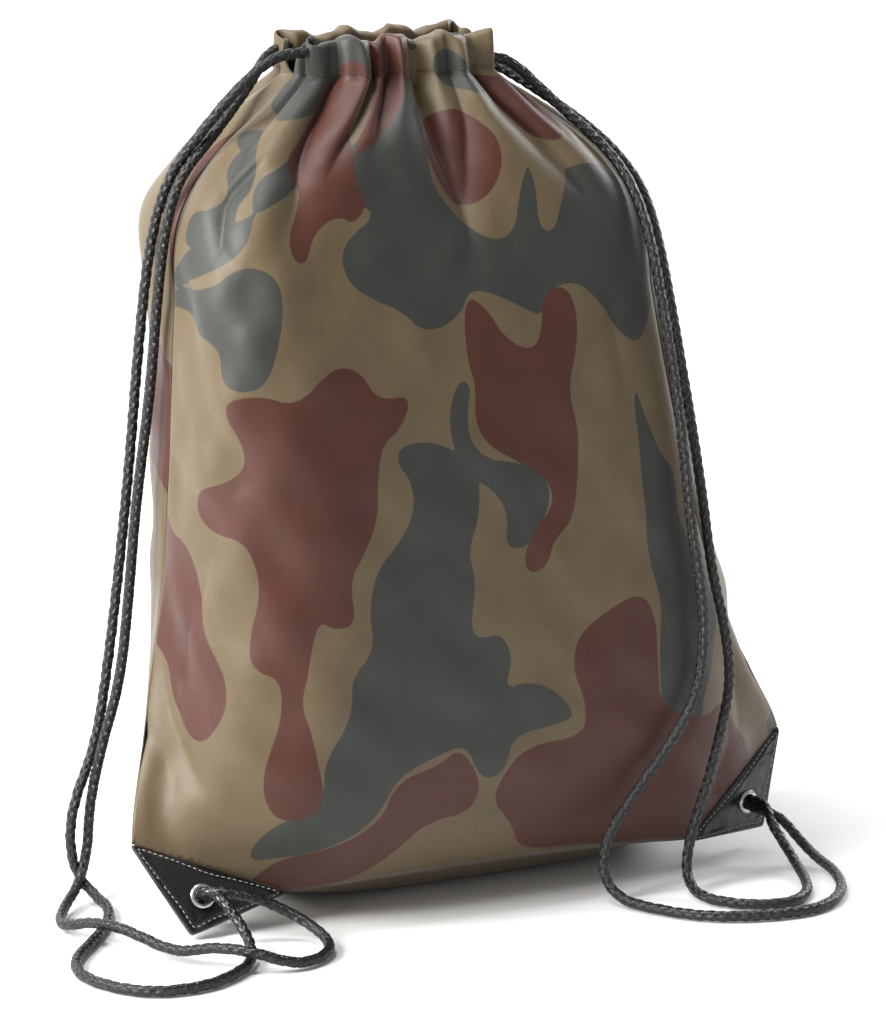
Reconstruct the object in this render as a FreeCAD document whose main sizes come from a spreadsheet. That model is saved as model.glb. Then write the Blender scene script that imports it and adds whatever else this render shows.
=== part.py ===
import FreeCAD, Part
import math
import os

import Sketcher

# A drawstring bag for drum sticks and small gear: two cloth panels, a cord channel along each lip of the
# mouth, a leatherette patch with a metal eyelet at each bottom corner, and two braided cords.
# Millimetres. Origin: centre of the flat underside. +X to the right, -Y to the front, +Z up.

Vec = FreeCAD.Vector
doc = FreeCAD.newDocument("DrawstringBag")
sheet = doc.addObject("Spreadsheet::Sheet", "Sizes")

SIZES = {
    # the stuffed body
    "neck_height": 384.0,
    "body_width": 286.0,
    "body_depth": 148.0,
    "foot_width": 216.0,
    "foot_depth": 72.0,
    "neck_width": 104.0,
    "neck_shift": 22.0,
    "side_lean": 0.055,
    "end_round": 0.93,
    "neck_overrun": 1.0,
    "cloth": 1.6,
    "seam_width": 9.0,
    "seam_cloth": 1.2,
    "seam_end": 6.0,
    "seam_inset": 4.0,
    # the mouth and its two cord channels
    "mouth_depth": 43.2,
    "channel_length": 88.0,
    "channel_thickness": 9.0,
    "channel_height": 16.7,
    "channel_wall": 1.0,
    "channel_round": 2.5,
    "slot_round": 1.5,
    "channel_gap": 0.3,
    "slot_height": 13.6,
    "turn_room": 16.0,
    # the corner patches
    "hinge_length": 76.0,
    "tip_along": 38.0,
    "tip_out": 32.0,
    "patch_thickness": 5.0,
    "patch_slot": 2.2,
    "patch_rim": 1.4,
    "corner_cloth": 2.0,
    "corner_gap": 0.6,
    "fin_thickness": 2.4,
    "eyelet_along": 38.0,
    "eyelet_out": 14.0,
    # the eyelets and their washers
    "eyelet_bore": 3.3,
    "eyelet_barrel": 4.0,
    "eyelet_flange": 6.0,
    "flange_height": 1.0,
    "washer_height": 0.9,
    "curl_height": 0.7,
    "curl_width": 1.1,
    "eyelet_edge": 0.3,
    "fit_gap": 0.1,
    # cords, knots and thread
    "cord_diameter": 5.0,
    "cord_spacing": 6.2,
    "cord_stub": 9.0,
    "knot_neck": 3.1,
    "knot_radius": 6.0,
    "knot_length": 13.0,
    "knot_gap": 0.4,
    "thread": 0.5,
    "stitch_margin": 3.0,
    "stitch_length": 2.4,
    "stitch_pitch": 3.8,
}

# Level cuts through the body: height as a share of neck_height, half width and half depth as shares of
# the widest, corner roundness as a share of the half depth, and how far the centre lies behind the foot.
STATIONS = [
    ("heel", 0.021, 0.832, 0.650, 0.917, -4.0),
    ("sole", 0.065, 0.902, 0.838, 0.839, -12.0),
    ("hip", 0.156, 1.000, 0.946, 0.829, -16.0),
    ("belly", 0.260, 1.000, 0.986, 0.849, -13.0),
    ("waist", 0.417, 0.958, 1.000, 0.851, -6.0),
    ("rib", 0.573, 0.909, 0.986, 0.849, 1.0),
    ("chest", 0.729, 0.857, 0.919, 0.853, 8.0),
    ("shoulder", 0.846, 0.804, 0.784, 0.862, 13.0),
    ("collar", 0.917, 0.650, 0.608, 0.889, 17.0),
    ("throat", 0.964, 0.490, 0.446, 0.909, 20.0),
]

# The line of the side seams in side view: (y, share of neck_height).
SEAM_LINE = [(-9.0, 0.0), (-33.0, 0.156), (-1.5, 0.846), (16.6, 1.0)]
FAR = 500.0

# Each bottom corner: the inner end of the patch's hinge line, a point towards its top end and a point
# on the side of the tip. "front" is the side of the patch, in its own frame, that faces the front.
CORNERS = {
    "left": {
        "inner": Vec(-113, -62, 15.5),
        "top": Vec(-177.5, -42, 40.5),
        "tip": Vec(-161, -63, 4),
        "front": 1,
    },
    "right": {
        "inner": Vec(101, -61, 11),
        "top": Vec(156.5, -46, 55.5),
        "tip": Vec(152, -47.5, 6),
        "front": -1,
    },
}
# The flat fin of cloth between the body and the hinge line, in the patch's own frame.
FIN = [(0.0, 0.0), (1.0, 0.0), (1.01, -30.0), (0.87, -62.0), (0.18, -30.0)]

# Routes of the four hanging strands, from the end of the channel down to the eyelet.
LEFT_FRONT = [
    (-85, 4, 396), (-106, 3, 381), (-122, 9, 360), (-136, 12, 342.5), (-143, 19, 312),
    (-148, 23, 262), (-153, 24, 206), (-160.5, 24, 146), (-167, 24, 102), (-174, 21, 72),
    (-188, 15, 47), (-190, 16, 28), (-187, 15, 12), (-181, 4, 3), (-181, -12, 2.6),
    (-190, -32, 2.6), (-204, -52, 2.6), (-224, -75, 2.6), (-229, -100, 2.6), (-212, -130, 2.6),
    (-184, -134, 2.6), (-163, -123, 2.6), (-151, -111, 2.8), (-147, -99, 7), (-148, -88, 14), (-151, -78, 21),
]
LEFT_BACK = [
    (-76, 38, 391), (-88, 26, 381), (-101.5, 16, 371), (-117, 9, 357.3), (-132.5, 7, 342), (-140.5, 5, 322),
    (-143.5, 9, 290), (-147, 12, 240), (-154, 14, 190), (-158, 15, 145), (-163, 15, 104),
    (-174, 14, 72), (-180, 15, 44), (-181, 15, 24), (-188, 10, 8), (-203, -7, 3),
    (-213, -30, 3.5), (-203, -48, 10), (-194, -64, 10), (-180, -90, 4), (-168, -105, 10),
    (-155, -119, 10), (-136, -126, 3), (-118, -119, 2.6), (-109, -104, 3.2), (-114, -89, 9), (-126, -80, 16),
    (-139, -77, 22),
]
RIGHT_FRONT = [
    (36, 3, 387), (51, -4, 371), (64, -14, 357), (76, -24, 343), (81, -37, 328),
    (84, -47, 307), (85, -58, 277), (88, -66, 240), (89.5, -73, 206), (90.5, -79, 172),
    (93.5, -85.5, 138), (92.5, -89, 112), (86, -93, 91), (71, -94, 70), (50, -93, 45),
    (39, -92, 28), (36, -94.5, 13), (38, -106, 4), (45, -121, 2.6), (63, -146, 2.6), (94, -158, 2.6),
    (122, -157, 2.6), (143, -138, 2.6), (154, -112, 2.6), (155, -92, 3.5), (151, -81, 11), (146, -73, 20),
]
RIGHT_BACK = [
    (34, 36, 386), (46, 22, 378), (59, 7, 367), (72, -6, 355), (83, -17, 342), (90, -30, 326),
    (92.5, -40, 304), (93, -51, 277), (96, -58, 245), (98.5, -66, 212), (100.5, -73, 180),
    (101.5, -79.5, 150), (107, -83, 124), (109, -86.5, 98), (102, -92, 78), (92, -95, 49),
    (84, -95, 28), (79, -98, 12), (76, -109, 4), (77, -124, 2.6), (91, -140, 2.6), (110, -145, 2.6),
    (125, -135, 2.6), (134, -118, 2.6), (140, -99, 4), (141, -84, 11), (140, -74, 18),
]


def read(alias):
    """The value of one cell of the sheet."""
    return float(sheet.get(alias))


def fill_sheet():
    """One row per size: its name, and its value in an aliased cell."""
    values = dict(SIZES)
    for name, rise, spread, swell, roundness, shift in STATIONS:
        values.update({
            name + "_rise": rise,
            name + "_spread": spread,
            name + "_swell": swell,
            name + "_round": roundness,
            name + "_shift": shift,
        })
    for row, (alias, value) in enumerate(values.items(), start=1):
        sheet.set("A%d" % row, alias)
        sheet.set("B%d" % row, repr(value))
        sheet.setAlias("B%d" % row, alias)
    doc.recompute()


def new_body(label, placement=None):
    """An empty body with the name of its sub-part."""
    body = doc.addObject("PartDesign::Body", label)
    body.Label = label
    body.AllowCompound = True
    if placement is not None:
        body.Placement = placement
    return body


def plane_of(body, role):
    """One of the body's own origin planes."""
    return next(item for item in body.Origin.OriginFeatures if item.Role == role)


def new_sketch(body, name, role="XY_Plane", offset=None):
    """A sketch on one of the body's origin planes, moved by an attachment offset."""
    sketch = body.newObject("Sketcher::SketchObject", name)
    sketch.AttachmentSupport = [(plane_of(body, role), "")]
    sketch.MapMode = "FlatFace"
    if offset is not None:
        sketch.AttachmentOffset = offset
    return sketch


def polygon(sketch, points):
    """A closed outline of straight lines through fixed points."""
    count = len(points)
    for i, point in enumerate(points):
        following = points[(i + 1) % count]
        sketch.addGeometry(Part.LineSegment(Vec(*point, 0), Vec(*following, 0)), False)
    for i in range(count):
        sketch.addConstraint(Sketcher.Constraint("Coincident", i, 2, (i + 1) % count, 1))


def rounded_rectangle(sketch, half_x, half_y, radius, formulas):
    """A rounded rectangle centred on the sketch's origin, with its three sizes bound to formulas."""
    x, y, r = half_x, half_y, radius
    corners = [(x - r, y - r, 0), (r - x, y - r, 90), (r - x, r - y, 180), (x - r, r - y, 270)]
    lines = [
        ((x - r, y), (r - x, y)),
        ((-x, y - r), (-x, r - y)),
        ((r - x, -y), (x - r, -y)),
        ((x, r - y), (x, y - r)),
    ]
    for cx, cy, start in corners:
        circle = Part.Circle(Vec(cx, cy, 0), Vec(0, 0, 1), r)
        sketch.addGeometry(Part.ArcOfCircle(circle, math.radians(start), math.radians(start + 90)), False)
    for first, last in lines:
        sketch.addGeometry(Part.LineSegment(Vec(*first, 0), Vec(*last, 0)), False)
    link = Sketcher.Constraint
    for i in range(4):
        sketch.addConstraint(link("Tangent", i, 2, 4 + i, 1))
        sketch.addConstraint(link("Tangent", 4 + i, 2, (i + 1) % 4, 1))
    sketch.addConstraint([link("Horizontal", i) for i in (4, 6)])
    sketch.addConstraint([link("Vertical", i) for i in (5, 7)])
    sketch.addConstraint([link("Equal", 0, i) for i in (1, 2, 3)])
    sketch.addConstraint(link("Symmetric", 0, 3, 2, 3, -1, 1))
    named = (("half_x", "DistanceX", x), ("half_y", "DistanceY", y), ("radius", "Radius", r))
    places = {"half_x": (-1, 1, 7, 1), "half_y": (-1, 1, 4, 1), "radius": (0,)}
    for (name, kind, value), formula in zip(named, formulas):
        index = sketch.addConstraint(link(kind, *places[name], value))
        sketch.renameConstraint(index, name)
        sketch.setExpression("Constraints." + name, formula)


def stations(inset, less):
    """The level cuts from foot to neck, drawn in by inset. Each: name, formulas for its height and its
    place, then the numbers and the formulas of its half width, half depth and corner radius."""
    lean = "-Sizes.side_lean * Sizes.neck_height"
    over = " + Sizes.neck_overrun" if inset else ""
    rows = [("foot", less or "0 mm", "0", "0", "foot_width", "foot_depth", None)]
    for name, *_ in STATIONS:
        cell = "Sizes." + name
        height = "%s_rise * Sizes.neck_height" % cell
        x = "%s * %s_rise" % (lean, cell)
        rows.append((name, height, x, cell + "_shift", "body_width", "body_depth", cell))
    height = "Sizes.neck_height" + over
    rows.append(("neck", height, lean, "Sizes.neck_shift", "neck_width", "mouth_depth", None))
    take = " - %s" % less if inset else ""
    for name, height, x, y, width, depth, cell in rows:
        half_width, half_depth = read(width) / 2, read(depth) / 2
        width_formula, depth_formula = "Sizes.%s / 2" % width, "Sizes.%s / 2" % depth
        share, share_formula = read("end_round"), "Sizes.end_round"
        if cell:
            half_width *= read(name + "_spread")
            half_depth *= read(name + "_swell")
            width_formula = "%s_spread * %s" % (cell, width_formula)
            depth_formula = "%s_swell * %s" % (cell, depth_formula)
            share, share_formula = read(name + "_round"), cell + "_round"
        numbers = (half_width - inset, half_depth - inset, share * half_depth - inset)
        formulas = (width_formula, depth_formula, "%s * %s" % (share_formula, depth_formula))
        yield name, height, x, y, numbers, [formula + take for formula in formulas]


def add_loft(body, name, kind, inset=0.0, less=""):
    """A loft through the body's level cuts, added to or taken from the body. less: the inset's formula."""
    profiles = []
    for station, height, x, y, numbers, formulas in stations(inset, less):
        sketch = new_sketch(body, "%s_%s" % (name, station))
        rounded_rectangle(sketch, *numbers, formulas)
        sketch.setExpression(".AttachmentOffset.Base.x", x)
        sketch.setExpression(".AttachmentOffset.Base.y", y)
        sketch.setExpression(".AttachmentOffset.Base.z", height)
        profiles.append(sketch)
    loft = body.newObject("PartDesign::" + kind, name)
    loft.Profile = profiles[0]
    loft.Sections = profiles[1:]
    loft.Ruled = False
    doc.recompute()
    return loft


def cut(body, name, sketch, depth=None):
    """Takes away what lies inside an outline, all the way or over a depth centred on the sketch."""
    before = body.Shape.Volume
    pocket = body.newObject("PartDesign::Pocket", name)
    pocket.Profile = sketch
    pocket.Midplane = True
    if depth is None:
        pocket.Type = "ThroughAll"
    else:
        pocket.setExpression("Length", depth)
    doc.recompute()
    if not body.Shape.Volume < before - 1.0:
        raise RuntimeError(name + " took nothing away")


def cut_through(body, name, role, points):
    """Takes away everything over and under an outline of straight lines."""
    sketch = new_sketch(body, name + "_outline", role)
    polygon(sketch, points)
    cut(body, name, sketch)


def seam_side(shift, side):
    """The half of the side view in front of (-1) or behind (+1) the seam line, moved by shift."""
    line = [(y + shift, share * read("neck_height")) for y, share in SEAM_LINE]
    line = [(line[0][0], -FAR)] + line + [(line[-1][0], read("neck_height") + FAR)]
    return line + [(side * FAR, line[-1][1]), (side * FAR, line[0][1])]


def patch_frame(corner):
    """The patch's own frame: X along its hinge line, Y towards its tip, Z across its face."""
    along = (corner["top"] - corner["inner"]).normalize()
    across = along.cross(corner["tip"] - corner["inner"]).normalize()
    return FreeCAD.Placement(corner["inner"], FreeCAD.Rotation(along, across.cross(along), across, "ZXY"))


def pad_both_ways(body, sketch, name, formula):
    """A pad that grows the same each way from its sketch."""
    pad = body.newObject("PartDesign::Pad", name)
    pad.Profile = sketch
    pad.Midplane = True
    pad.setExpression("Length", formula)
    doc.recompute()
    return pad


def make_panel(label, side, with_fins):
    """A thin cloth half of the stuffed body, in front of or behind the side seams."""
    body = new_body(label)
    add_loft(body, label + "_outside", "AdditiveLoft")
    if with_fins:
        for name, corner in CORNERS.items():
            offset = patch_frame(corner)
            outline = [(x * read("hinge_length"), y - read("corner_gap")) for x, y in FIN]
            sketch = new_sketch(body, "%s_%s_fin_outline" % (label, name), "XY_Plane", offset)
            polygon(sketch, outline)
            pad_both_ways(body, sketch, "%s_%s_fin" % (label, name), "Sizes.fin_thickness")
    add_loft(body, label + "_inside", "SubtractiveLoft", read("cloth"), "Sizes.cloth")
    cut_through(body, label + "_seam_cut", "YZ_Plane", seam_side(0.0, -side))
    return body


def make_side_seam(label, side):
    """The seam allowance: a strip of cloth lying on the inside of both panels along one side."""
    body = new_body(label)
    depth = read("cloth")
    add_loft(body, label + "_outside", "AdditiveLoft", depth, "Sizes.cloth")
    depth += read("seam_cloth")
    add_loft(body, label + "_inside", "SubtractiveLoft", depth, "(Sizes.cloth + Sizes.seam_cloth)")
    half = read("seam_width") / 2
    cut_through(body, label + "_back_cut", "YZ_Plane", seam_side(half, 1))
    cut_through(body, label + "_front_cut", "YZ_Plane", seam_side(-half, -1))
    height = read("neck_height")
    foot_edge = side * (read("foot_width") / 2 - read("seam_inset"))
    top_edge = side * read("neck_width") / 4 - read("side_lean") * height
    far_edge = -side * FAR
    cut_through(body, label + "_middle_cut", "XZ_Plane", [
        (foot_edge, -FAR), (foot_edge, read("seam_end")), (side * read("body_width") / 4, 0.5 * height),
        (top_edge, height), (top_edge, height + FAR), (far_edge, height + FAR), (far_edge, -FAR)])
    level = height - read("seam_end")
    cut_through(body, label + "_top_cut", "XZ_Plane", [
        (-FAR, level), (FAR, level), (FAR, height + FAR), (-FAR, height + FAR)])
    return body


def mouth_centre():
    """Centre of the mouth at the height of the channels' mid line."""
    middle = read("neck_height") + read("channel_gap") + read("channel_height") / 2
    return Vec(-read("side_lean") * read("neck_height"), read("neck_shift"), middle)


def channel_frame(side):
    """The channel's own frame: X along it, Y towards the middle of the mouth, Z up. side is -1 in front."""
    reach = (read("mouth_depth") - read("channel_thickness")) / 2
    turn = FreeCAD.Rotation(Vec(0, 0, 1), 0 if side < 0 else 180)
    return FreeCAD.Placement(mouth_centre() + Vec(0, side * reach, 0), turn)


def make_channel(label, side):
    """A flat cloth sleeve for the cords, open at both ends and on its inner side near the ends."""
    body = new_body(label, channel_frame(side))
    half_thick, half_high = read("channel_thickness") / 2, read("channel_height") / 2
    sketch = new_sketch(body, label + "_profile", "YZ_Plane")
    rounded_rectangle(sketch, half_thick, half_high, read("channel_round"), (
        "Sizes.channel_thickness / 2", "Sizes.channel_height / 2", "Sizes.channel_round"))
    pad_both_ways(body, sketch, label + "_sleeve", "Sizes.channel_length")
    slot = new_sketch(body, label + "_slot_profile", "YZ_Plane")
    slot_half = half_thick - read("channel_wall")
    rounded_rectangle(slot, slot_half, read("slot_height") / 2, read("slot_round"), (
        "Sizes.channel_thickness / 2 - Sizes.channel_wall", "Sizes.slot_height / 2", "Sizes.slot_round"))
    cut(body, label + "_slot", slot)
    room = new_sketch(body, label + "_turn_room_outline", "XY_Plane")
    end = read("channel_length") / 2
    for sign in (-1, 1):
        near, far = sign * (end - read("turn_room")), sign * (end + 1)
        box_outline(room, near, slot_half / 2, far, read("channel_thickness"))
    cut(body, label + "_turn_room", room, "Sizes.slot_height - 2")
    return body


def box_outline(sketch, x0, y0, x1, y1):
    """One rectangle in a sketch, given by two opposite corners."""
    first = sketch.GeometryCount
    corners = [(x0, y0), (x1, y0), (x1, y1), (x0, y1)]
    for i in range(4):
        sketch.addGeometry(Part.LineSegment(Vec(*corners[i], 0), Vec(*corners[(i + 1) % 4], 0)), False)
    for i in range(4):
        sketch.addConstraint(Sketcher.Constraint("Coincident", first + i, 2, first + (i + 1) % 4, 1))


def make_stitches(label, frame, rows):
    """Rows of topstitches as one node. A row: first point, last point, and the height of the face."""
    stitches = []
    for first, last, face in rows:
        run = last - first
        count = int(run.Length // read("stitch_pitch"))
        turn = FreeCAD.Rotation(Vec(1, 0, 0), run)
        for i in range(count):
            middle = first + run * ((i + 0.5) / count)
            stitch = doc.addObject("Part::Box", "%s_%d" % (label, len(stitches)))
            stitch.setExpression("Length", "Sizes.stitch_length")
            stitch.setExpression("Width", "Sizes.thread")
            stitch.setExpression("Height", "Sizes.thread")
            drop = 0.0 if face > 0 else -read("thread")
            corner = Vec(-read("stitch_length") / 2, -read("thread") / 2, 0)
            place = middle + turn.multVec(corner) + Vec(0, 0, face + drop)
            stitch.Placement = frame.multiply(FreeCAD.Placement(place, turn))
            stitches.append(stitch)
    group = doc.addObject("Part::Compound", label)
    group.Label = label
    group.Links = stitches
    doc.recompute()
    return group


def channel_stitches(label, side):
    """One row along the foot of a channel, on its outer face."""
    frame = channel_frame(side).multiply(FreeCAD.Placement(Vec(), FreeCAD.Rotation(Vec(1, 0, 0), 90)))
    margin = read("stitch_margin")
    half = read("channel_length") / 2 - margin
    level = margin - read("channel_height") / 2
    row = (Vec(-half, level, 0), Vec(half, level, 0), read("channel_thickness") / 2)
    return make_stitches(label, frame, [row])


def patch_corners(inset):
    """The patch's outline in its own frame, its two outer sides drawn in by inset."""
    length, along, out, gap = (read(a) for a in ("hinge_length", "tip_along", "tip_out", "corner_gap"))
    near = inset * math.hypot(along, out) / out
    far = inset * math.hypot(length - along, out) / out
    base, width = gap, length - near - far
    scale = width / length
    tip_y = gap + (out - gap) * scale
    return [(near, base), (length - far, base), (near + along * scale, tip_y)]


def make_patch(label, frame):
    """A leatherette patch folded round the corner: open along the hinge line, with the eyelet's hole."""
    body = new_body(label, frame)
    sketch = new_sketch(body, label + "_outline")
    polygon(sketch, patch_corners(0.0))
    pad_both_ways(body, sketch, label + "_pad", "Sizes.patch_thickness")
    inner = new_sketch(body, label + "_slot_outline")
    first, second, tip = patch_corners(read("patch_rim"))
    polygon(inner, [(first[0], -1.0), (second[0], -1.0), second, tip, first])
    cut(body, label + "_slot", inner, "Sizes.patch_slot")
    drill_eyelet(body, label)
    return body


def drill_eyelet(body, label):
    """The hole for the eyelet's barrel."""
    sketch = new_sketch(body, label + "_hole_outline")
    centre = Vec(read("eyelet_along"), read("eyelet_out"), 0)
    sketch.addGeometry(Part.Circle(centre, Vec(0, 0, 1), read("eyelet_barrel") + read("fit_gap")), False)
    for name, kind, places, value, formula in (
        ("along", "DistanceX", (-1, 1, 0, 3), centre.x, "Sizes.eyelet_along"),
        ("out", "DistanceY", (-1, 1, 0, 3), centre.y, "Sizes.eyelet_out"),
        ("bore", "Radius", (0,), read("eyelet_barrel"), "Sizes.eyelet_barrel + Sizes.fit_gap"),
    ):
        sketch.renameConstraint(sketch.addConstraint(Sketcher.Constraint(kind, *places, value)), name)
        sketch.setExpression("Constraints." + name, formula)
    cut(body, label + "_hole", sketch)


def make_corner_cloth(label, frame):
    """The cloth corner inside the patch, front and back layers together."""
    body = new_body(label, frame)
    sketch = new_sketch(body, label + "_outline")
    polygon(sketch, patch_corners(read("patch_rim") + read("fit_gap")))
    pad_both_ways(body, sketch, label + "_pad", "Sizes.corner_cloth")
    drill_eyelet(body, label)
    return body


def patch_stitches(label, frame):
    """A row along the side edge and a row along the hinge line, on both faces of the patch."""
    inner, top, tip = (Vec(x, y, 0) for x, y in patch_corners(read("stitch_margin")))
    lift = Vec(0, read("patch_rim"), 0)
    face = read("patch_thickness") / 2
    rows = []
    for height in (face, -face):
        rows += [(top, tip, height), (inner + lift, top + lift, height)]
    return make_stitches(label, frame, rows)


def turned(label, frame, profile):
    """A piece of revolution about the eyelet's axis, from an outline of (radius, height) points."""
    body = new_body(label, frame)
    sketch = new_sketch(body, label + "_outline", "XZ_Plane")
    polygon(sketch, profile)
    revolution = body.newObject("PartDesign::Revolution", label + "_turned")
    revolution.Profile = sketch
    revolution.ReferenceAxis = (sketch, ["V_Axis"])
    revolution.Angle = 360.0
    doc.recompute()
    return body


def eyelet_frame(corner):
    """A frame at the middle of the eyelet, with Z out of the patch's front face."""
    turn = FreeCAD.Rotation(Vec(1, 0, 0), 0 if corner["front"] > 0 else 180)
    centre = Vec(read("eyelet_along"), read("eyelet_out"), 0)
    return patch_frame(corner).multiply(FreeCAD.Placement(centre, turn))


def make_eyelet(label, frame):
    """A rolled metal eyelet: a domed flange in front, a barrel, and a curled end behind the washer."""
    bore, barrel, flange = read("eyelet_bore"), read("eyelet_barrel"), read("eyelet_flange")
    face = read("patch_thickness") / 2
    top = face + read("flange_height")
    foot = -face - read("washer_height")
    curl = foot - read("curl_height")
    edge = read("eyelet_edge")
    rim = barrel + read("curl_width")
    return turned(label, frame, [
        (bore, curl + edge), (bore, top - edge), (bore + edge, top), (flange - 3 * edge, top),
        (flange, face + edge), (flange, face), (barrel, face), (barrel, foot), (rim, foot), (rim, curl),
        (bore + edge, curl)])


def make_washer(label, frame):
    """The flat ring under the eyelet's curled end."""
    near, far = read("eyelet_barrel") + read("fit_gap"), read("eyelet_flange")
    face = -read("patch_thickness") / 2
    foot = face - read("washer_height")
    edge = read("eyelet_edge")
    outline = [(near, foot), (near, face), (far, face), (far, foot + edge), (far - edge, foot)]
    return turned(label, frame, outline)


def knot_front():
    """Height of the knot's front end over the middle of the eyelet."""
    return read("patch_thickness") / 2 + read("flange_height") + read("knot_gap")


def make_knot(label, frame):
    """Both ends of one cord: pinched together through the eyelet and tied in a knot behind it."""
    neck, ball, length = read("knot_neck"), read("knot_radius"), read("knot_length")
    start = -read("patch_thickness") / 2 - read("washer_height") - read("curl_height") - read("knot_gap")
    front = knot_front()
    soft = ball / 4
    return turned(label, frame, [
        (0, front), (neck - 0.5, front), (neck, front - 0.5), (neck, start), (ball - soft, start),
        (ball, start - soft), (ball, start - length + 2 * soft), (ball - 2 * soft, start - length),
        (0, start - length)])


def rounded_path(points):
    """Straight runs joined by tangent arcs, with the smallest arc radius."""
    edges = []
    radii = []
    start = points[0]
    for before, corner, after in zip(points, points[1:], points[2:]):
        back, ahead = before - corner, after - corner
        run = min(back.Length, ahead.Length)
        half_turn = (math.pi - back.getAngle(ahead)) / 2
        radius = 0.45 * run / math.tan(half_turn)
        radii.append(radius)
        back.normalize()
        ahead.normalize()
        first, last = corner + back * 0.45 * run, corner + ahead * 0.45 * run
        inward = (back + ahead).normalize()
        middle = corner + inward * (radius / math.cos(half_turn) - radius)
        edges.append(Part.LineSegment(start, first).toShape())
        edges.append(Part.Arc(first, middle, last).toShape())
        start = last
    edges.append(Part.LineSegment(start, points[-1]).toShape())
    return Part.Wire(edges), radii


def make_cord(label, points):
    """A plain round tube along a cord's route."""
    path, radii = rounded_path(points)
    radius = read("cord_diameter") / 2
    start = (points[1] - points[0]).normalize()
    section = Part.Wire(Part.Circle(points[0], start, radius).toShape())
    cord = doc.addObject("Part::Feature", label)
    cord.Label = label
    tube = path.makePipeShell([section], True, False)
    cord.Shape = tube
    expected = math.pi * radius ** 2 * path.Length
    share = cord.Shape.Volume / expected
    print("%s: length %.0f mm, volume share %.4f" % (label, path.Length, share))
    print("  bend radii in order, mm: " + " ".join("%.1f" % radius for radius in radii))
    if abs(share - 1.0) > 0.01:
        raise RuntimeError(label + " is not the tube it should be")
    return cord


def cord_route(side, front_strand, back_strand):
    """One cord's whole route: eyelet, front strand, front channel, turn, back channel, back strand, eyelet.
    The turn is half a hexagon round the middle of the mouth, 1.155 and 0.577 of its reach out and across."""
    sign = -1 if side == "left" else 1
    centre = mouth_centre()
    level = centre.z - sign * read("cord_spacing") / 2
    reach = (read("mouth_depth") - read("channel_thickness")) / 2
    end = read("channel_length") / 2
    turn_start = end - read("cord_diameter") / 2 - read("knot_gap") - reach
    shoulder = -turn_start - 0.577 * reach
    crown = -turn_start - 1.155 * reach
    steps = [(end + 1, -1), (-4, -1.02), (shoulder, -1), (crown, 0), (shoulder, 1), (4, 1.02), (end + 1, 1)]
    mouth = []
    for along, across in steps:
        mouth.append(Vec(centre.x + sign * along, centre.y + across * reach, level))
    frame = eyelet_frame(CORNERS[side])
    half = read("cord_diameter") / 2 + 0.15
    ends = []
    for offset in (-half, half):
        exit_point = frame.multVec(Vec(offset, 0, knot_front()))
        ends.append([exit_point, frame.multVec(Vec(offset, 0, knot_front() + read("cord_stub")))])
    front = [Vec(*p) for p in front_strand]
    back = [Vec(*p) for p in back_strand]
    return ends[0] + front[::-1] + mouth + back + ends[1][::-1]


def check_and_write(pieces):
    """Refuses a failed object or a bad shape, then writes every piece to its own file."""
    doc.recompute()
    failed = [item.Name for item in doc.Objects if "Invalid" in item.State or "Error" in item.State]
    if failed:
        raise RuntimeError("failed objects: " + ", ".join(failed))
    for piece in pieces:
        if piece.Shape.isNull() or not piece.Shape.isValid() or not piece.Shape.Solids:
            raise RuntimeError(piece.Label + " has no valid solid")
    os.makedirs("parts", exist_ok=True)
    for piece in pieces:
        piece.Shape.exportStep(os.path.join("parts", piece.Label + ".step"))
        box = piece.Shape.BoundBox
        print("%-24s %d solids, %9.1f mm3, x %.0f..%.0f y %.0f..%.0f z %.1f..%.1f" % (
            piece.Label, len(piece.Shape.Solids), piece.Shape.Volume,
            box.XMin, box.XMax, box.YMin, box.YMax, box.ZMin, box.ZMax))


def build():
    fill_sheet()
    pieces = [
        make_panel("front_panel", -1, True),
        make_panel("back_panel", 1, False),
        make_side_seam("left_side_seam", -1),
        make_side_seam("right_side_seam", 1),
        make_channel("front_channel", -1),
        make_channel("back_channel", 1),
        channel_stitches("front_channel_stitching", -1),
        channel_stitches("back_channel_stitching", 1),
    ]
    strands = {"left": (LEFT_FRONT, LEFT_BACK), "right": (RIGHT_FRONT, RIGHT_BACK)}
    for side, corner in CORNERS.items():
        frame = patch_frame(corner)
        axis = eyelet_frame(corner)
        pieces += [
            make_patch(side + "_corner_patch", frame),
            make_corner_cloth(side + "_corner_cloth", frame),
            patch_stitches(side + "_patch_stitching", frame),
            make_eyelet(side + "_eyelet", axis),
            make_washer(side + "_eyelet_washer", axis),
            make_knot(side + "_cord_knot", axis),
            make_cord(side + "_cord", cord_route(side, *strands[side])),
        ]
        print("%s hinge from %s along %s" % (side, frame.Base, frame.Rotation.multVec(Vec(1, 0, 0))))
    check_and_write(pieces)


build()
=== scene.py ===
import math

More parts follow.
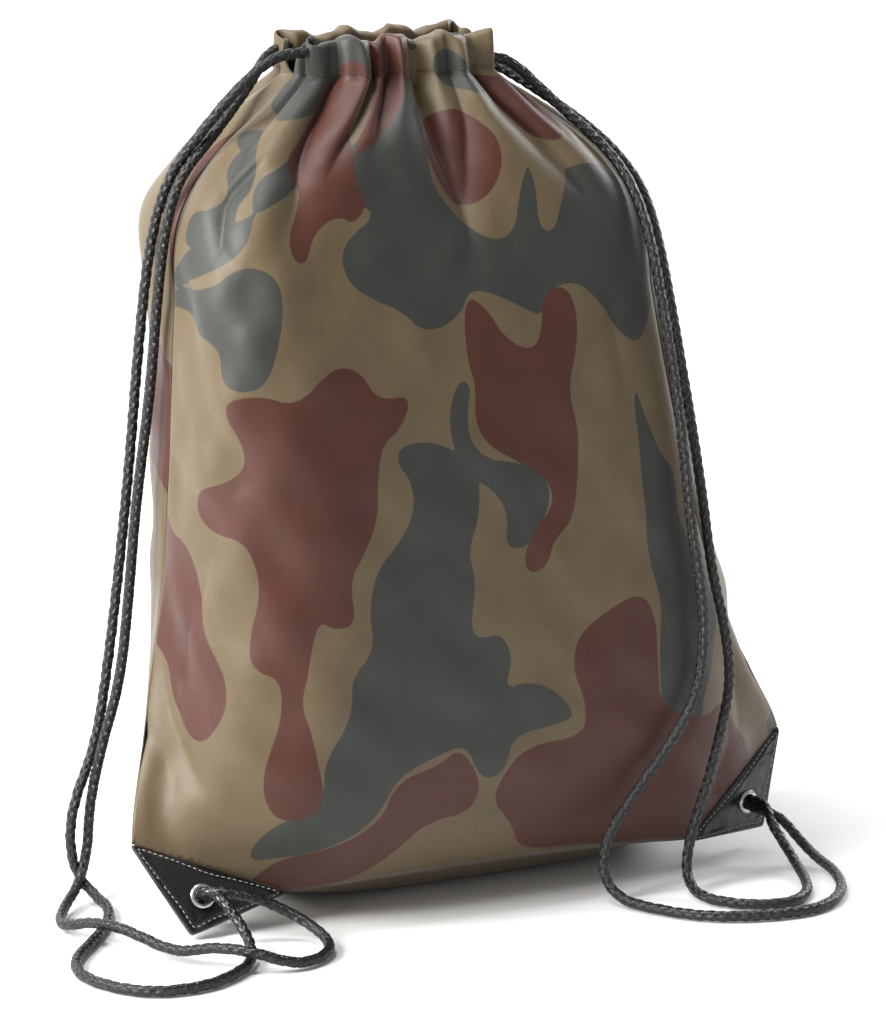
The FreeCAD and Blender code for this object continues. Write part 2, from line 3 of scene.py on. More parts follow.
import bmesh
import bpy
import numpy as np
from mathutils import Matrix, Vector


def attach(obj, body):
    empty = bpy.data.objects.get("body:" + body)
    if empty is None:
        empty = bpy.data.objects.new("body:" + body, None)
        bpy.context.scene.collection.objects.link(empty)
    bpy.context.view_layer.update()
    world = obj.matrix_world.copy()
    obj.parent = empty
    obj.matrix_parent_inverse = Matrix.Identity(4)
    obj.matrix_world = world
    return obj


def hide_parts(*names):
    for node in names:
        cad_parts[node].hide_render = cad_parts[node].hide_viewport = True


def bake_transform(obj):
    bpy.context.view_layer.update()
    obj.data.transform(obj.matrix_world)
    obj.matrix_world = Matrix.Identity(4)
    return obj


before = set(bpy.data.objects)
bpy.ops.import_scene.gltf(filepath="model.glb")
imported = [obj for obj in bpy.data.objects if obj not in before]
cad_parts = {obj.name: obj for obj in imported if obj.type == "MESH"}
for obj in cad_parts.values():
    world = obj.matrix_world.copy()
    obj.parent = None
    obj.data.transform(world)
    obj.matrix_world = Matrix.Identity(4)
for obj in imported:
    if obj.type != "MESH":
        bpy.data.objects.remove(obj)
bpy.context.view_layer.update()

bl_info = {
    "name": "Drawstring bag",
    "version": (1, 0, 0),
    "blender": (4, 5, 0),
    "location": "View3D > Sidebar > Bag",
    "description": "A stuffed camouflage drawstring bag with corner patches, eyelets and braided cords",
    "category": "Add Mesh",
}

MM = 0.001

# Level cuts through the stuffed body, in mm: height, half width, half depth, corner radius as a share
# of the half depth, and the y of the centre.
LEVELS = np.array([
    (0.0, 108.0, 36.0, 0.93, 0.0),
    (8.1, 119.0, 48.1, 0.917, -4.0),
    (25.0, 129.0, 62.0, 0.839, -12.0),
    (59.9, 143.0, 70.0, 0.829, -16.0),
    (99.8, 143.0, 73.0, 0.849, -13.0),
    (160.1, 137.0, 74.0, 0.851, -6.0),
    (220.0, 130.0, 73.0, 0.849, 1.0),
    (279.9, 122.6, 68.0, 0.853, 8.0),
    (324.9, 115.0, 58.0, 0.862, 13.0),
    (352.1, 92.0, 45.0, 0.889, 17.0),
    (370.2, 66.0, 33.0, 0.909, 20.0),
    (384.0, 47.0, 21.6, 0.93, 22.0),
])
SIDE_LEAN = -0.055
NECK_HEIGHT = 384.0
PANEL_WIDTH = 345.0

# Plan position (y) of the two side seams at each height.
LEFT_SEAM = [(0, -26), (15, -38), (45, -26), (80, -8), (120, 2), (192, 2), (260, 4), (325, 8), (352, 12),
             (384, 20)]
RIGHT_SEAM = [(0, -26), (12, -40), (40, -55), (70, -62), (139, -66), (204, -62), (280, -46), (325, -24),
              (352, -8), (384, 20)]

# Corner patches: the inner end of the hinge line, a point towards its top end and one on the tip's side.
CORNERS = {
    "left": ((-113.0, -62.0, 15.5), (-177.5, -42.0, 40.5), (-161.0, -63.0, 4.0), 1),
    "right": ((101.0, -61.0, 11.0), (156.5, -46.0, 55.5), (152.0, -47.5, 6.0), -1),
}
HINGE_LENGTH = 76.0
TIP_ALONG = 38.0
TIP_OUT = 32.0
EYELET_ALONG = 38.0
EYELET_OUT = 14.0
PATCH_SIDE = math.hypot(TIP_ALONG, TIP_OUT)

# Control points of the four hanging strands in mm, from the end of the channel to the eyelet.
STRANDS = {
    "left_front": [
        (-85, 4, 396), (-106, 3, 381), (-122, 9, 360), (-136, 12, 342.5), (-143, 19, 312),
        (-148, 23, 262), (-153, 24, 206), (-160.5, 24, 146), (-167, 24, 102), (-174, 21, 72),
        (-188, 15, 47), (-190, 16, 28), (-187, 15, 12), (-181, 4, 3), (-181, -12, 2.6),
        (-190, -32, 2.6), (-204, -52, 2.6), (-224, -75, 2.6), (-229, -100, 2.6), (-212, -130, 2.6),
        (-184, -134, 2.6), (-163, -123, 2.6), (-151, -111, 2.8), (-147, -99, 7), (-148, -88, 14),
        (-151, -78, 21),
    ],
    "left_back": [
        (-76, 38, 391), (-88, 26, 381), (-101.5, 16, 371), (-117, 9, 357.3), (-132.5, 7, 342),
        (-140.5, 5, 322), (-143.5, 9, 290), (-147, 12, 240), (-154, 14, 190), (-158, 15, 145),
        (-163, 15, 104), (-174, 14, 72), (-180, 15, 44), (-181, 15, 24), (-188, 10, 8), (-203, -7, 3),
        (-213, -30, 3.5), (-203, -48, 10), (-194, -64, 10), (-180, -90, 4), (-168, -105, 10),
        (-155, -119, 10), (-136, -126, 3), (-118, -119, 2.6), (-109, -104, 3.2), (-114, -89, 9),
        (-126, -80, 16), (-139, -77, 22),
    ],
    "right_front": [
        (36, 3, 387), (51, -4, 371), (64, -14, 357), (76, -24, 343), (81, -37, 328),
        (84, -47, 307), (85, -58, 277), (88, -66, 240), (89.5, -73, 206), (90.5, -79, 172),
        (93.5, -85.5, 138), (92.5, -89, 112), (86, -93, 91), (71, -94, 70), (50, -93, 45),
        (39, -92, 28), (36, -94.5, 13), (38, -106, 4), (45, -121, 2.6), (63, -146, 2.6),
        (94, -158, 2.6), (122, -157, 2.6), (143, -138, 2.6), (154, -112, 2.6), (155, -92, 3.5),
        (151, -81, 11), (146, -73, 20),
    ],
    "right_back": [
        (34, 36, 386), (46, 22, 378), (59, 7, 367), (72, -6, 355), (83, -17, 342), (90, -30, 326),
        (92.5, -40, 304), (93, -51, 277), (96, -58, 245), (98.5, -66, 212), (100.5, -73, 180),
        (101.5, -79.5, 150), (107, -83, 124), (109, -86.5, 98), (102, -92, 78), (92, -95, 49),
        (84, -95, 28), (79, -98, 12), (76, -109, 4), (77, -124, 2.6), (91, -140, 2.6),
        (110, -145, 2.6), (125, -135, 2.6), (134, -118, 2.6), (140, -99, 4), (141, -84, 11),
        (140, -74, 18),
    ],
}

# Mouth: middle of the two channels' centre lines, and half the distance between them.
MOUTH_X, MOUTH_Y, MOUTH_Z = -21.12, 22.0, 392.65
MOUTH_REACH = 17.1
CHANNEL_HALF = 44.0

# Cord pieces: the step between rings of the tube and the length of a tail at an eyelet, in metres, and
# how often the knot goes round.
CORD_STEP = 0.0006
TAIL_LENGTH = 0.042
KNOT_TURNS = 2.6

# Print: outlines in panel mm, across the panel from the left seam and up from the floor.
GREEN_PRINT = [
    [(-25, 287), (26, 296), (62, 308), (69, 324), (58, 343), (70, 349), (76, 355), (95, 351), (114, 342),
     (132, 331), (142, 326), (127, 318), (122, 309), (129, 297), (144, 290), (165, 283), (174, 275),
     (190, 274), (204, 281), (207, 290), (220, 289), (240, 282), (256, 275), (259, 287), (277, 291),
     (295, 281), (308, 264), (320, 259), (333, 268), (342, 281), (345, 303), (335, 327), (315, 342),
     (288, 341), (270, 327), (261, 312), (250, 317), (256, 336), (257, 345), (241, 330), (235, 313),
     (220, 311), (205, 319), (193, 328), (182, 339), (184, 360), (172, 384), (150, 386), (125, 372),
     (118, 354)],
    [(-19, 283), (16, 294), (51, 295), (65, 308), (80, 305), (88, 292), (87, 272), (81, 254), (67, 251),
     (59, 257), (58, 271), (38, 276), (23, 283)],
    [(53, 349), (31, 354), (33, 346), (45, 338), (41, 330), (21, 328), (18, 315), (33, 311), (47, 317),
     (59, 324), (55, 334), (61, 339), (45, 361), (26, 363), (13, 359)],
    [(159, 223), (177, 225), (196, 218), (207, 204), (204, 188), (195, 173), (198, 159), (191, 138),
     (194, 131), (207, 133), (211, 122), (205, 106), (217, 109), (232, 103), (241, 90), (230, 86),
     (206, 84), (200, 70), (191, 64), (185, 67), (183, 83), (167, 79), (147, 72), (129, 51), (103, 40),
     (82, 38), (70, 38), (81, 51), (95, 57), (111, 67), (113, 81), (123, 97), (126, 110), (124, 120),
     (138, 132), (137, 151), (142, 169), (156, 179), (166, 194), (165, 208), (158, 215)],
    [(199, 251), (207, 248), (203, 237), (202, 223), (213, 213), (231, 211), (247, 203), (248, 192),
     (238, 178), (227, 170), (217, 173), (221, 185), (217, 197), (201, 207), (192, 219), (191, 237)],
    [(312, 245), (317, 223), (322, 206), (332, 198), (325, 174), (334, 153), (337, 133), (325, 110),
     (306, 88), (297, 69), (287, 73), (286, 91), (290, 115), (300, 139), (299, 163), (305, 191)],
    [(352, 76), (332, 64), (335, 51), (340, 38), (350, 46)],
    [(300, 384), (325, 380), (345, 366), (345, 352), (322, 356), (305, 366)],
    [(12, 374), (40, 366), (75, 370), (98, 378), (112, 392), (112, 412), (60, 418), (10, 414), (2, 392)],
    [(202, 392), (232, 397), (262, 386), (270, 373), (240, 377), (212, 379)],
    [(292, 420), (292, 400), (312, 394), (332, 402), (330, 420)],
]
MAROON_PRINT = [
    [(70, 349), (72, 362), (66, 376), (74, 392), (100, 392), (104, 376), (110, 362), (119, 350),
     (126, 339), (136, 331), (128, 323), (118, 327), (108, 324), (102, 317), (101, 308), (93, 308),
     (87, 318), (91, 328), (90, 339)],
    [(182, 354), (196, 367), (220, 370), (243, 360), (240, 346), (225, 332), (207, 325), (197, 330),
     (189, 339)],
    [(114, 352), (124, 372), (119, 396), (124, 420), (174, 420), (168, 394), (160, 378), (148, 366),
     (134, 356)],
    [(40, 203), (67, 211), (72, 224), (59, 246), (77, 251), (99, 245), (119, 262), (138, 259),
     (147, 245), (170, 246), (161, 231), (149, 225), (145, 209), (145, 191), (135, 176), (127, 165),
     (130, 145), (118, 143), (110, 148), (105, 130), (100, 112), (109, 93), (112, 69), (104, 57),
     (89, 55), (84, 64), (88, 84), (93, 103), (90, 121), (76, 125), (74, 138), (81, 157), (79, 170),
     (71, 184), (52, 184), (39, 191)],
    [(205, 289), (220, 281), (229, 269), (244, 261), (254, 265), (257, 287), (271, 289), (279, 279),
     (277, 259), (268, 241), (271, 222), (267, 204), (259, 181), (245, 173), (240, 162), (230, 158),
     (226, 165), (235, 179), (247, 187), (250, 196), (244, 204), (231, 211), (213, 220), (207, 232),
     (210, 247), (205, 259)],
    [(246, 125), (264, 136), (289, 145), (294, 132), (288, 111), (285, 86), (304, 78), (317, 86),
     (320, 64), (317, 35), (307, 11), (270, 12), (236, 20), (191, 22), (192, 41), (187, 53), (196, 65),
     (211, 78), (242, 79), (247, 96), (242, 111)],
    [(60, 20), (82, 38), (105, 40), (131, 50), (146, 70), (167, 74), (180, 82), (186, 64), (175, 49),
     (153, 47), (129, 33), (101, 17), (75, 12)],
    [(-20, 236), (-12, 228), (-10, 203), (8, 179), (33, 177), (44, 143), (62, 118), (66, 100), (51, 86),
     (29, 102), (7, 126), (-18, 140), (-20, 189)],
    [(-15, 121), (0, 99), (4, 62), (8, 25), (-13, 20), (-18, 50), (-10, 82)],
    [(262, 384), (292, 380), (330, 386), (345, 378), (322, 366), (300, 352), (280, 353), (270, 370)],
]

# Creases of the cloth: points of (across, up, depth, half width), all in mm on the panel.
FRONT_CREASES = [
    [(60, 408, 9, 7), (70, 384, 11, 8), (78, 368, 13, 9), (86, 352, 10, 10), (95, 334, 4, 10),
     (98, 322, 0, 9)],
    [(126, 408, 7, 4), (122, 384, 9, 5), (116, 368, 7, 6), (110, 352, 3, 7), (106, 340, 0, 7)],
    [(146, 408, 12, 5), (145, 384, 12, 6), (142, 370, 8, 7), (138, 358, 2, 8), (136, 350, 0, 8)],
    [(180, 408, 12, 6), (186, 384, 14, 8), (193, 368, 15, 10), (200, 350, 13, 11), (207, 332, 9, 10),
     (213, 312, 3, 8), (214, 304, 0, 7)],
    [(240, 408, 5, 6), (232, 384, 5, 8), (226, 366, 6, 11), (218, 346, 7, 11), (211, 328, 3, 9),
     (208, 316, 0, 8)],
    [(276, 408, 10, 5), (274, 384, 12, 6), (276, 368, 12, 8), (284, 350, 9, 9), (292, 334, 4, 8),
     (296, 322, 0, 8)],
    [(312, 408, 4, 5), (310, 384, 5, 6), (308, 366, 4, 7), (306, 348, 0, 7)],
    [(334, 404, 5, 6), (330, 378, 5, 7), (326, 352, 3, 8), (324, 330, 0, 8)],
    [(22, 404, 6, 5), (30, 376, 8, 7), (38, 352, 4, 9), (42, 326, 0, 9)],
    [(112, 344, 0, 5), (84, 347, 3.5, 6), (56, 348, 4, 6), (44, 334, 4, 6), (52, 316, 3, 6),
     (70, 304, 0, 6)],
    [(60, 196, 0, 8), (40, 150, 1.6, 9), (26, 112, 2.6, 9), (20, 84, 1.6, 9), (18, 60, 0, 8)],
    [(4, 130, 0, 7), (14, 104, 3.0, 7), (26, 84, 3.0, 8), (44, 62, 0, 8)],
    [(2, 96, 2.0, 5), (12, 84, 3.0, 6), (24, 70, 0, 6)],
    [(300, 20, 0, 8), (306, 40, 2.2, 8), (314, 62, 1.8, 8), (318, 96, 0, 8)],
    [(340, 120, 0, 6), (332, 92, 2.2, 7), (324, 70, 2.0, 8), (312, 54, 0, 8)],
    [(296, 300, 0, 9), (304, 280, 1.6, 9), (306, 250, 1.2, 9), (308, 220, 0, 9)],
]
BACK_CREASES = [
    [(30, 408, 7, 8), (36, 380, 7, 9), (48, 352, 3, 9), (56, 330, 0, 9)],
    [(72, 408, 8, 8), (78, 384, 8, 9), (92, 352, 5, 9), (100, 322, 0, 9)],
    [(112, 408, 7, 7), (114, 384, 8, 8), (122, 356, 4, 8), (126, 334, 0, 8)],
    [(150, 408, 8, 8), (152, 384, 10, 9), (158, 350, 7, 9), (160, 310, 0, 9)],
    [(196, 408, 8, 7), (194, 384, 8, 8), (188, 358, 4, 8), (186, 336, 0, 8)],
    [(236, 408, 8, 8), (230, 384, 9, 9), (222, 350, 6, 9), (214, 312, 0, 9)],
    [(278, 408, 7, 7), (272, 384, 7, 8), (258, 354, 4, 8), (250, 330, 0, 8)],
    [(318, 408, 7, 8), (312, 380, 6, 8), (300, 352, 3, 9), (292, 326, 0, 9)],
    [(40, 90, 0, 9), (26, 70, 2.0, 9), (20, 46, 1.5, 8), (30, 20, 0, 8)],
    [(306, 96, 0, 9), (320, 72, 2.0, 9), (326, 46, 1.5, 8), (316, 20, 0, 8)],
    [(150, 120, 0, 12), (175, 100, 1.5, 12), (210, 92, 1.2, 12), (240, 96, 0, 12)],
]


class BagSettings(bpy.types.PropertyGroup):
    """Sizes of the cloth, thread and cord."""

    cloth_thickness: bpy.props.FloatProperty(
        name="Cloth thickness", description="Thickness of the printed cloth", default=0.0008,
        min=0.0003, max=0.002, unit="LENGTH")
    pleat_depth: bpy.props.FloatProperty(
        name="Pleat depth", description="Depth of the gathers, as a share of the drawn ones",
        default=1.0, min=0.0, max=1.5, subtype="FACTOR")
    cord_diameter: bpy.props.FloatProperty(
        name="Cord diameter", description="Thickness of the braided cord", default=0.005,
        min=0.003, max=0.007, unit="LENGTH")
    braid_pitch: bpy.props.FloatProperty(
        name="Braid pitch", description="Length of one plait of the cord's braid", default=0.0052,
        min=0.002, max=0.012, unit="LENGTH")
    stitch_pitch: bpy.props.FloatProperty(
        name="Stitch pitch", description="Distance from one stitch to the next", default=0.0028,
        min=0.0015, max=0.006, unit="LENGTH")


class BagFinish(bpy.types.PropertyGroup):
    """Colours of the print, cord and patches."""

    sand: bpy.props.FloatVectorProperty(
        name="Sand", description="Ground colour of the print", subtype="COLOR", size=3,
        default=(0.118, 0.086, 0.047), min=0.0, max=1.0)
    green: bpy.props.FloatVectorProperty(
        name="Green", description="Dark grey green of the print", subtype="COLOR", size=3,
        default=(0.037, 0.039, 0.034), min=0.0, max=1.0)
    maroon: bpy.props.FloatVectorProperty(
        name="Maroon", description="Red brown of the print", subtype="COLOR", size=3,
        default=(0.068, 0.021, 0.014), min=0.0, max=1.0)
    cord: bpy.props.FloatVectorProperty(
        name="Cord", description="Colour of the braided cord", subtype="COLOR", size=3,
        default=(0.006, 0.006, 0.0065), min=0.0, max=1.0)
    leather: bpy.props.FloatVectorProperty(
        name="Leatherette", description="Colour of the corner patches", subtype="COLOR", size=3,
        default=(0.005, 0.005, 0.0055), min=0.0, max=1.0)


# ---------------------------------------------------------------- shapes

def through(x, xs, ys):
    """A smooth curve through (xs, ys), read at x: cubic pieces whose slopes are the mean of the chords."""
    xs, ys = np.asarray(xs, float), np.asarray(ys, float)
    chord = np.diff(ys) / np.diff(xs)
    slope = np.concatenate([chord[:1], (chord[:-1] + chord[1:]) / 2, chord[-1:]])
    i = np.clip(np.searchsorted(xs, x, side="right") - 1, 0, len(xs) - 2)
    h = xs[i + 1] - xs[i]
    t = np.clip((x - xs[i]) / h, 0, 1)
    return ((1 + 2 * t) * (1 - t) ** 2 * ys[i] + t * (1 - t) ** 2 * h * slope[i]
            + t * t * (3 - 2 * t) * ys[i + 1] + t * t * (t - 1) * h * slope[i + 1])


def smooth_step(x, low, high):
    """0 below low, 1 above high, and a smooth rise between: t squared times (3 - 2t)."""
    t = np.clip((x - low) / (high - low), 0, 1)
    return t * t * (3 - 2 * t)


def round_blur(grid, passes):
    """Each value becomes the mean of its two neighbours and twice itself, round the loop, some times."""
    for _ in range(passes):
        grid = (np.roll(grid, 1, axis=1) + 2 * grid + np.roll(grid, -1, axis=1)) / 4
    return grid


def cross_section(height):
    """The outline of a level cut: a rounded rectangle, from the back's middle by the left to the front's
    middle and by the right to the back again."""
    values = [float(through(height, LEVELS[:, 0], LEVELS[:, k])) for k in (1, 2, 3, 4)]
    half_x, half_y, share, centre_y = values
    centre_x = SIDE_LEAN * height
    ridge = 0.45 * math.exp(-((height - 290) / 75) ** 2)
    outline = []
    for start, sx, sy in ((90, -1, 1), (180, -1, -1), (270, 1, -1), (0, 1, 1)):
        radius = share * half_y * (1 - ridge if start == 180 else 1)
        turn = np.radians(np.linspace(start, start + 90, 60))
        outline.append(np.stack([
            centre_x + sx * (half_x - radius) + radius * np.cos(turn),
            centre_y + sy * (half_y - radius) + radius * np.sin(turn)], axis=1))
    middle = np.array([[centre_x, centre_y + half_y]])
    return np.concatenate([middle, *outline, middle])


def body_loop(height, columns):
    """Points round the body at one height: columns steps over the front panel from the left seam to the
    right one, then as many over the back panel, each evenly spaced along the outline."""
    outline = cross_section(height)
    length = np.concatenate([[0], np.cumsum(np.hypot(*np.diff(outline, axis=0).T))])
    total = length[-1]
    half = len(outline) // 2
    left_y = through(height, *np.array(LEFT_SEAM, float).T)
    right_y = through(height, *np.array(RIGHT_SEAM, float).T)
    left = np.interp(-left_y, -outline[:half, 1], length[:half])
    right = np.interp(right_y, outline[half:, 1], length[half:])
    front = left + (right - left) * np.arange(columns) / columns
    back = right + (total - right + left) * np.arange(columns) / columns
    place = np.concatenate([front, back]) % total
    return np.stack([np.interp(place, length, outline[:, k]) for k in (0, 1)], axis=1)


def crease_depth(across, up, creases, squeeze):
    """How deep the cloth is pushed in at each place: for each crease the largest of depth times
    e to the minus (distance over half width) to the power 1.2, over its straight pieces."""
    total = np.zeros_like(across)
    for crease in creases:
        deepest = np.zeros_like(across)
        for (x0, y0, d0, w0), (x1, y1, d1, w1) in zip(crease, crease[1:]):
            dx, dy = x1 - x0, y1 - y0
            t = np.clip(((across - x0) * dx + (up - y0) * dy) / (dx * dx + dy * dy), 0, 1)
            gap = np.hypot((across - x0 - t * dx) * squeeze, up - y0 - t * dy)
            depth = (d0 + (d1 - d0) * t) * np.exp(-(gap / (w0 + (w1 - w0) * t)) ** 1.2)
            deepest = np.maximum(deepest, depth)
        total = np.hypot(total, deepest)
    return total


def patch_axes(side):
    """A patch's own frame: origin, X along its hinge line, Y towards its tip, Z across its face."""
    inner, top, tip, _ = CORNERS[side]
    inner, top, tip = (np.array(p) for p in (inner, top, tip))
    along = (top - inner) / np.linalg.norm(top - inner)
    across = np.cross(along, tip - inner)
    across /= np.linalg.norm(across)
    return inner, along, np.cross(across, along), across


def from_patch(side, points):
    """Points given in a patch's own frame, moved to the bag's frame."""
    origin, x, y, z = patch_axes(side)
    points = np.asarray(points, float)
    return origin + points[..., 0:1] * x + points[..., 1:2] * y + points[..., 2:3] * z


COLUMNS = 300
FOOT_ROWS = 26
BODY_ROWS = 124
BAND_ROWS = 8
TOP_ROWS = 6
INNER_ROWS = 5
BAND_HEIGHT = 15.0
BLUR_PASSES = 24
HINGE_STEPS = 41

# Height of the fold between the two panels, which runs along the front of the bag's foot, by x.
FOLD_LINE = [(-120.0, 15.5), (-60.0, 16.5), (0.0, 17.0), (70.0, 15.0), (105.0, 11.0)]


def body_push(wide, ups, is_back):
    """How far the stuffing pushes the cloth out at each place, in mm: gathers under the mouth, creases,
    and four crossing waves of low height that stand for the load."""
    edge = 1 - np.abs(wide / PANEL_WIDTH * 2 - 1) ** 8
    rise = smooth_step(ups, 318, 380)
    squeeze = 1.0 - 0.4 * smooth_step(ups, 320, 384)
    creases = BACK_CREASES if is_back else FRONT_CREASES
    push = 11.0 * rise * edge - 1.3 * crease_depth(wide, ups, creases, squeeze)
    ruffle = np.sin(wide * 2 * np.pi / 19.0 + 1.6 * np.sin(wide / 27.0))
    push = push + 0.5 * ruffle * smooth_step(ups, 362, 386) * edge
    for wave_x, wave_y, height, phase in ((61, 83, 0.9, 0.3), (47, -71, 0.7, 1.9), (33, 52, 0.4, 4.0),
                                          (91, 39, 0.8, 2.2)):
        turn = 2 * np.pi * (wide / wave_x + ups / wave_y) + phase + is_back * 1.7
        calm = 1 if is_back else 1 - 0.65 * smooth_step(wide, 70, 120)
        push = push + height * calm * np.sin(turn) * smooth_step(ups, 20, 70) * (1 - 0.6 * rise) * edge
    if is_back:
        bulge = np.exp(-((wide - 306) / 22) ** 2 - ((ups - 318) / 48) ** 2)
        push = push + 7.0 * bulge
    seam = np.minimum(wide, PANEL_WIDTH - wide)
    return push - 1.3 * np.exp(-seam / 2.2) * smooth_step(ups, 60, 100)


def body_grid(is_back, pleats=1.0):
    """One panel of the cloth body. Rows run from the fold at the foot up the body to the neck, up the
    outside of the lip, over its top and down its inside; the back panel's first rows lie under the bag.
    Gives the points, the place across the panel, the place up the print and the distance from the
    fold, all in mm."""
    heights = np.linspace(0, NECK_HEIGHT, 150)
    loops = round_blur(np.array([body_loop(h, COLUMNS) for h in heights]), BLUR_PASSES)
    tangent = np.roll(loops, -1, axis=1) - np.roll(loops, 1, axis=1)
    outward = np.dstack([tangent[..., 1], -tangent[..., 0]])
    outward /= np.linalg.norm(outward, axis=2, keepdims=True)
    front_fold = np.interp(loops[6, :COLUMNS + 1, 0], *np.array(FOLD_LINE).T)
    across = np.arange(COLUMNS + 1) * PANEL_WIDTH / COLUMNS
    seam_gap = np.minimum(across, PANEL_WIDTH - across)
    if is_back:
        start = front_fold[::-1] * (1 - smooth_step(seam_gap, 0, 45))
        columns = (np.arange(COLUMNS + 1) + COLUMNS) % (2 * COLUMNS)
    else:
        start = front_fold
        columns = np.arange(COLUMNS + 1)
    shares = np.linspace(0, 1, BODY_ROWS)[:, None]
    ups = start + (NECK_HEIGHT - start) * shares
    at = ups / NECK_HEIGHT * (len(heights) - 1)
    low = np.clip(at.astype(int), 0, len(heights) - 2)
    part = (at - low)[..., None]
    body = loops[low, columns] * (1 - part) + loops[low + 1, columns] * part
    normal = outward[low, columns] * (1 - part) + outward[low + 1, columns] * part
    wide = across + np.zeros_like(ups)
    push = pleats * body_push(wide, ups, is_back)
    body = body + normal * push[..., None]

    # the cords in the channel keep the two cloth layers apart
    side = 1.0 if is_back else -1.0
    cord_y = MOUTH_Y + side * MOUTH_REACH
    limit = cord_y + side * 3.7
    near = smooth_step(ups, 372, 381) * smooth_step(46 - np.abs(body[..., 0] - MOUTH_X), 0, 6)
    beyond = np.maximum((limit - body[..., 1]) * side, 0) * near
    body[..., 1] += beyond * side
    grid = np.dstack([body, ups])

    # the lip: up its outside, over the top and down its inside
    neck = grid[-1]
    lift = BAND_HEIGHT * smooth_step(seam_gap, 3, 30)
    lift = lift + (1.8 * np.sin(across * 2 * np.pi / 71.0 + is_back * 2.0)
                   + 0.5 * np.sin(across * 2 * np.pi / 29.0 + 1.0)) * smooth_step(seam_gap, 10, 40)
    inner_y = cord_y - side * 3.9
    middle = smooth_step(46 - np.abs(neck[:, 0] - MOUTH_X), -2, 6)
    inner = np.stack([neck[:, 0] * 0.97 + MOUTH_X * 0.03,
                      inner_y * middle + (neck[:, 1] * 0.9 + MOUTH_Y * 0.1) * (1 - middle)], axis=1)
    rows, row_ups = [], []
    for k in range(1, BAND_ROWS + 1):
        share = k / BAND_ROWS
        lean = 0.22 * share ** 2
        rows.append(np.column_stack([neck[:, :2] * (1 - lean) + inner * lean, neck[:, 2] + lift * share]))
        row_ups.append(NECK_HEIGHT + lift * share)
    crown = rows[-1][:, :2]
    for k in range(1, TOP_ROWS + 1):
        turn = np.pi * k / TOP_ROWS
        share = (1 - math.cos(turn)) / 2
        over = 2.2 * math.sin(turn) * smooth_step(seam_gap, 2, 20)
        rows.append(np.column_stack([crown * (1 - share) + inner * share, neck[:, 2] + lift + over]))
        row_ups.append(NECK_HEIGHT + lift + 8 * share)
    for k in range(1, INNER_ROWS + 1):
        share = k / INNER_ROWS
        rows.append(np.column_stack([inner, neck[:, 2] + lift * (1 - 0.85 * share)]))
        row_ups.append(NECK_HEIGHT + 8 + lift * (1 + share))
    points = np.concatenate([grid, np.array(rows)])
    wide = across + np.zeros(points.shape[:2])
    up = np.concatenate([ups, np.array(row_ups)])
    fold_gap = up - start
    if is_back:
        edge_row = points[0]
        fold_at = front_fold[::-1]
        level = fold_at / NECK_HEIGHT * (len(heights) - 1)
        floor = level.astype(int)
        part = (level - floor)[:, None]
        mirrored = np.arange(COLUMNS + 1)[::-1]
        fold = loops[floor, mirrored] * (1 - part) + loops[floor + 1, mirrored] * part
        shares = (np.arange(FOOT_ROWS) / FOOT_ROWS)[:, None]
        flat = fold[None] + (edge_row[None, :, :2] - fold[None]) * shares[..., None]
        drop = start + (fold_at - start) * (1 - smooth_step(shares, 0.0, 0.32)) * (1 - shares)
        reach = np.linalg.norm(edge_row[:, :2] - fold, axis=1)
        points = np.concatenate([np.dstack([flat, drop]), points])
        wide = across + np.zeros(points.shape[:2])
        up = np.concatenate([(shares - 1) * reach, up])
        fold_gap = np.concatenate([shares * reach, fold_gap + reach])
    return points, wide, up, fold_gap


def along_hinge(points, fold_gap, from_left):
    """Where the panel's cloth lies, before it is pulled, at the places that end at a corner's hinge
    line: (PATCH_SIDE times q) from the fold and (PATCH_SIDE times 1 - q) from the seam."""
    places = []
    for q in np.linspace(0, 1, HINGE_STEPS):
        seam = PATCH_SIDE * (1 - q)
        column = seam / PANEL_WIDTH * COLUMNS
        column = column if from_left else COLUMNS - column
        low = min(int(column), COLUMNS - 1)
        pair = [np.array([np.interp(PATCH_SIDE * q, fold_gap[:, c], points[:, c, k]) for k in range(3)])
                for c in (low, low + 1)]
        places.append(pair[0] + (pair[1] - pair[0]) * (column - low))
    return np.array(places)


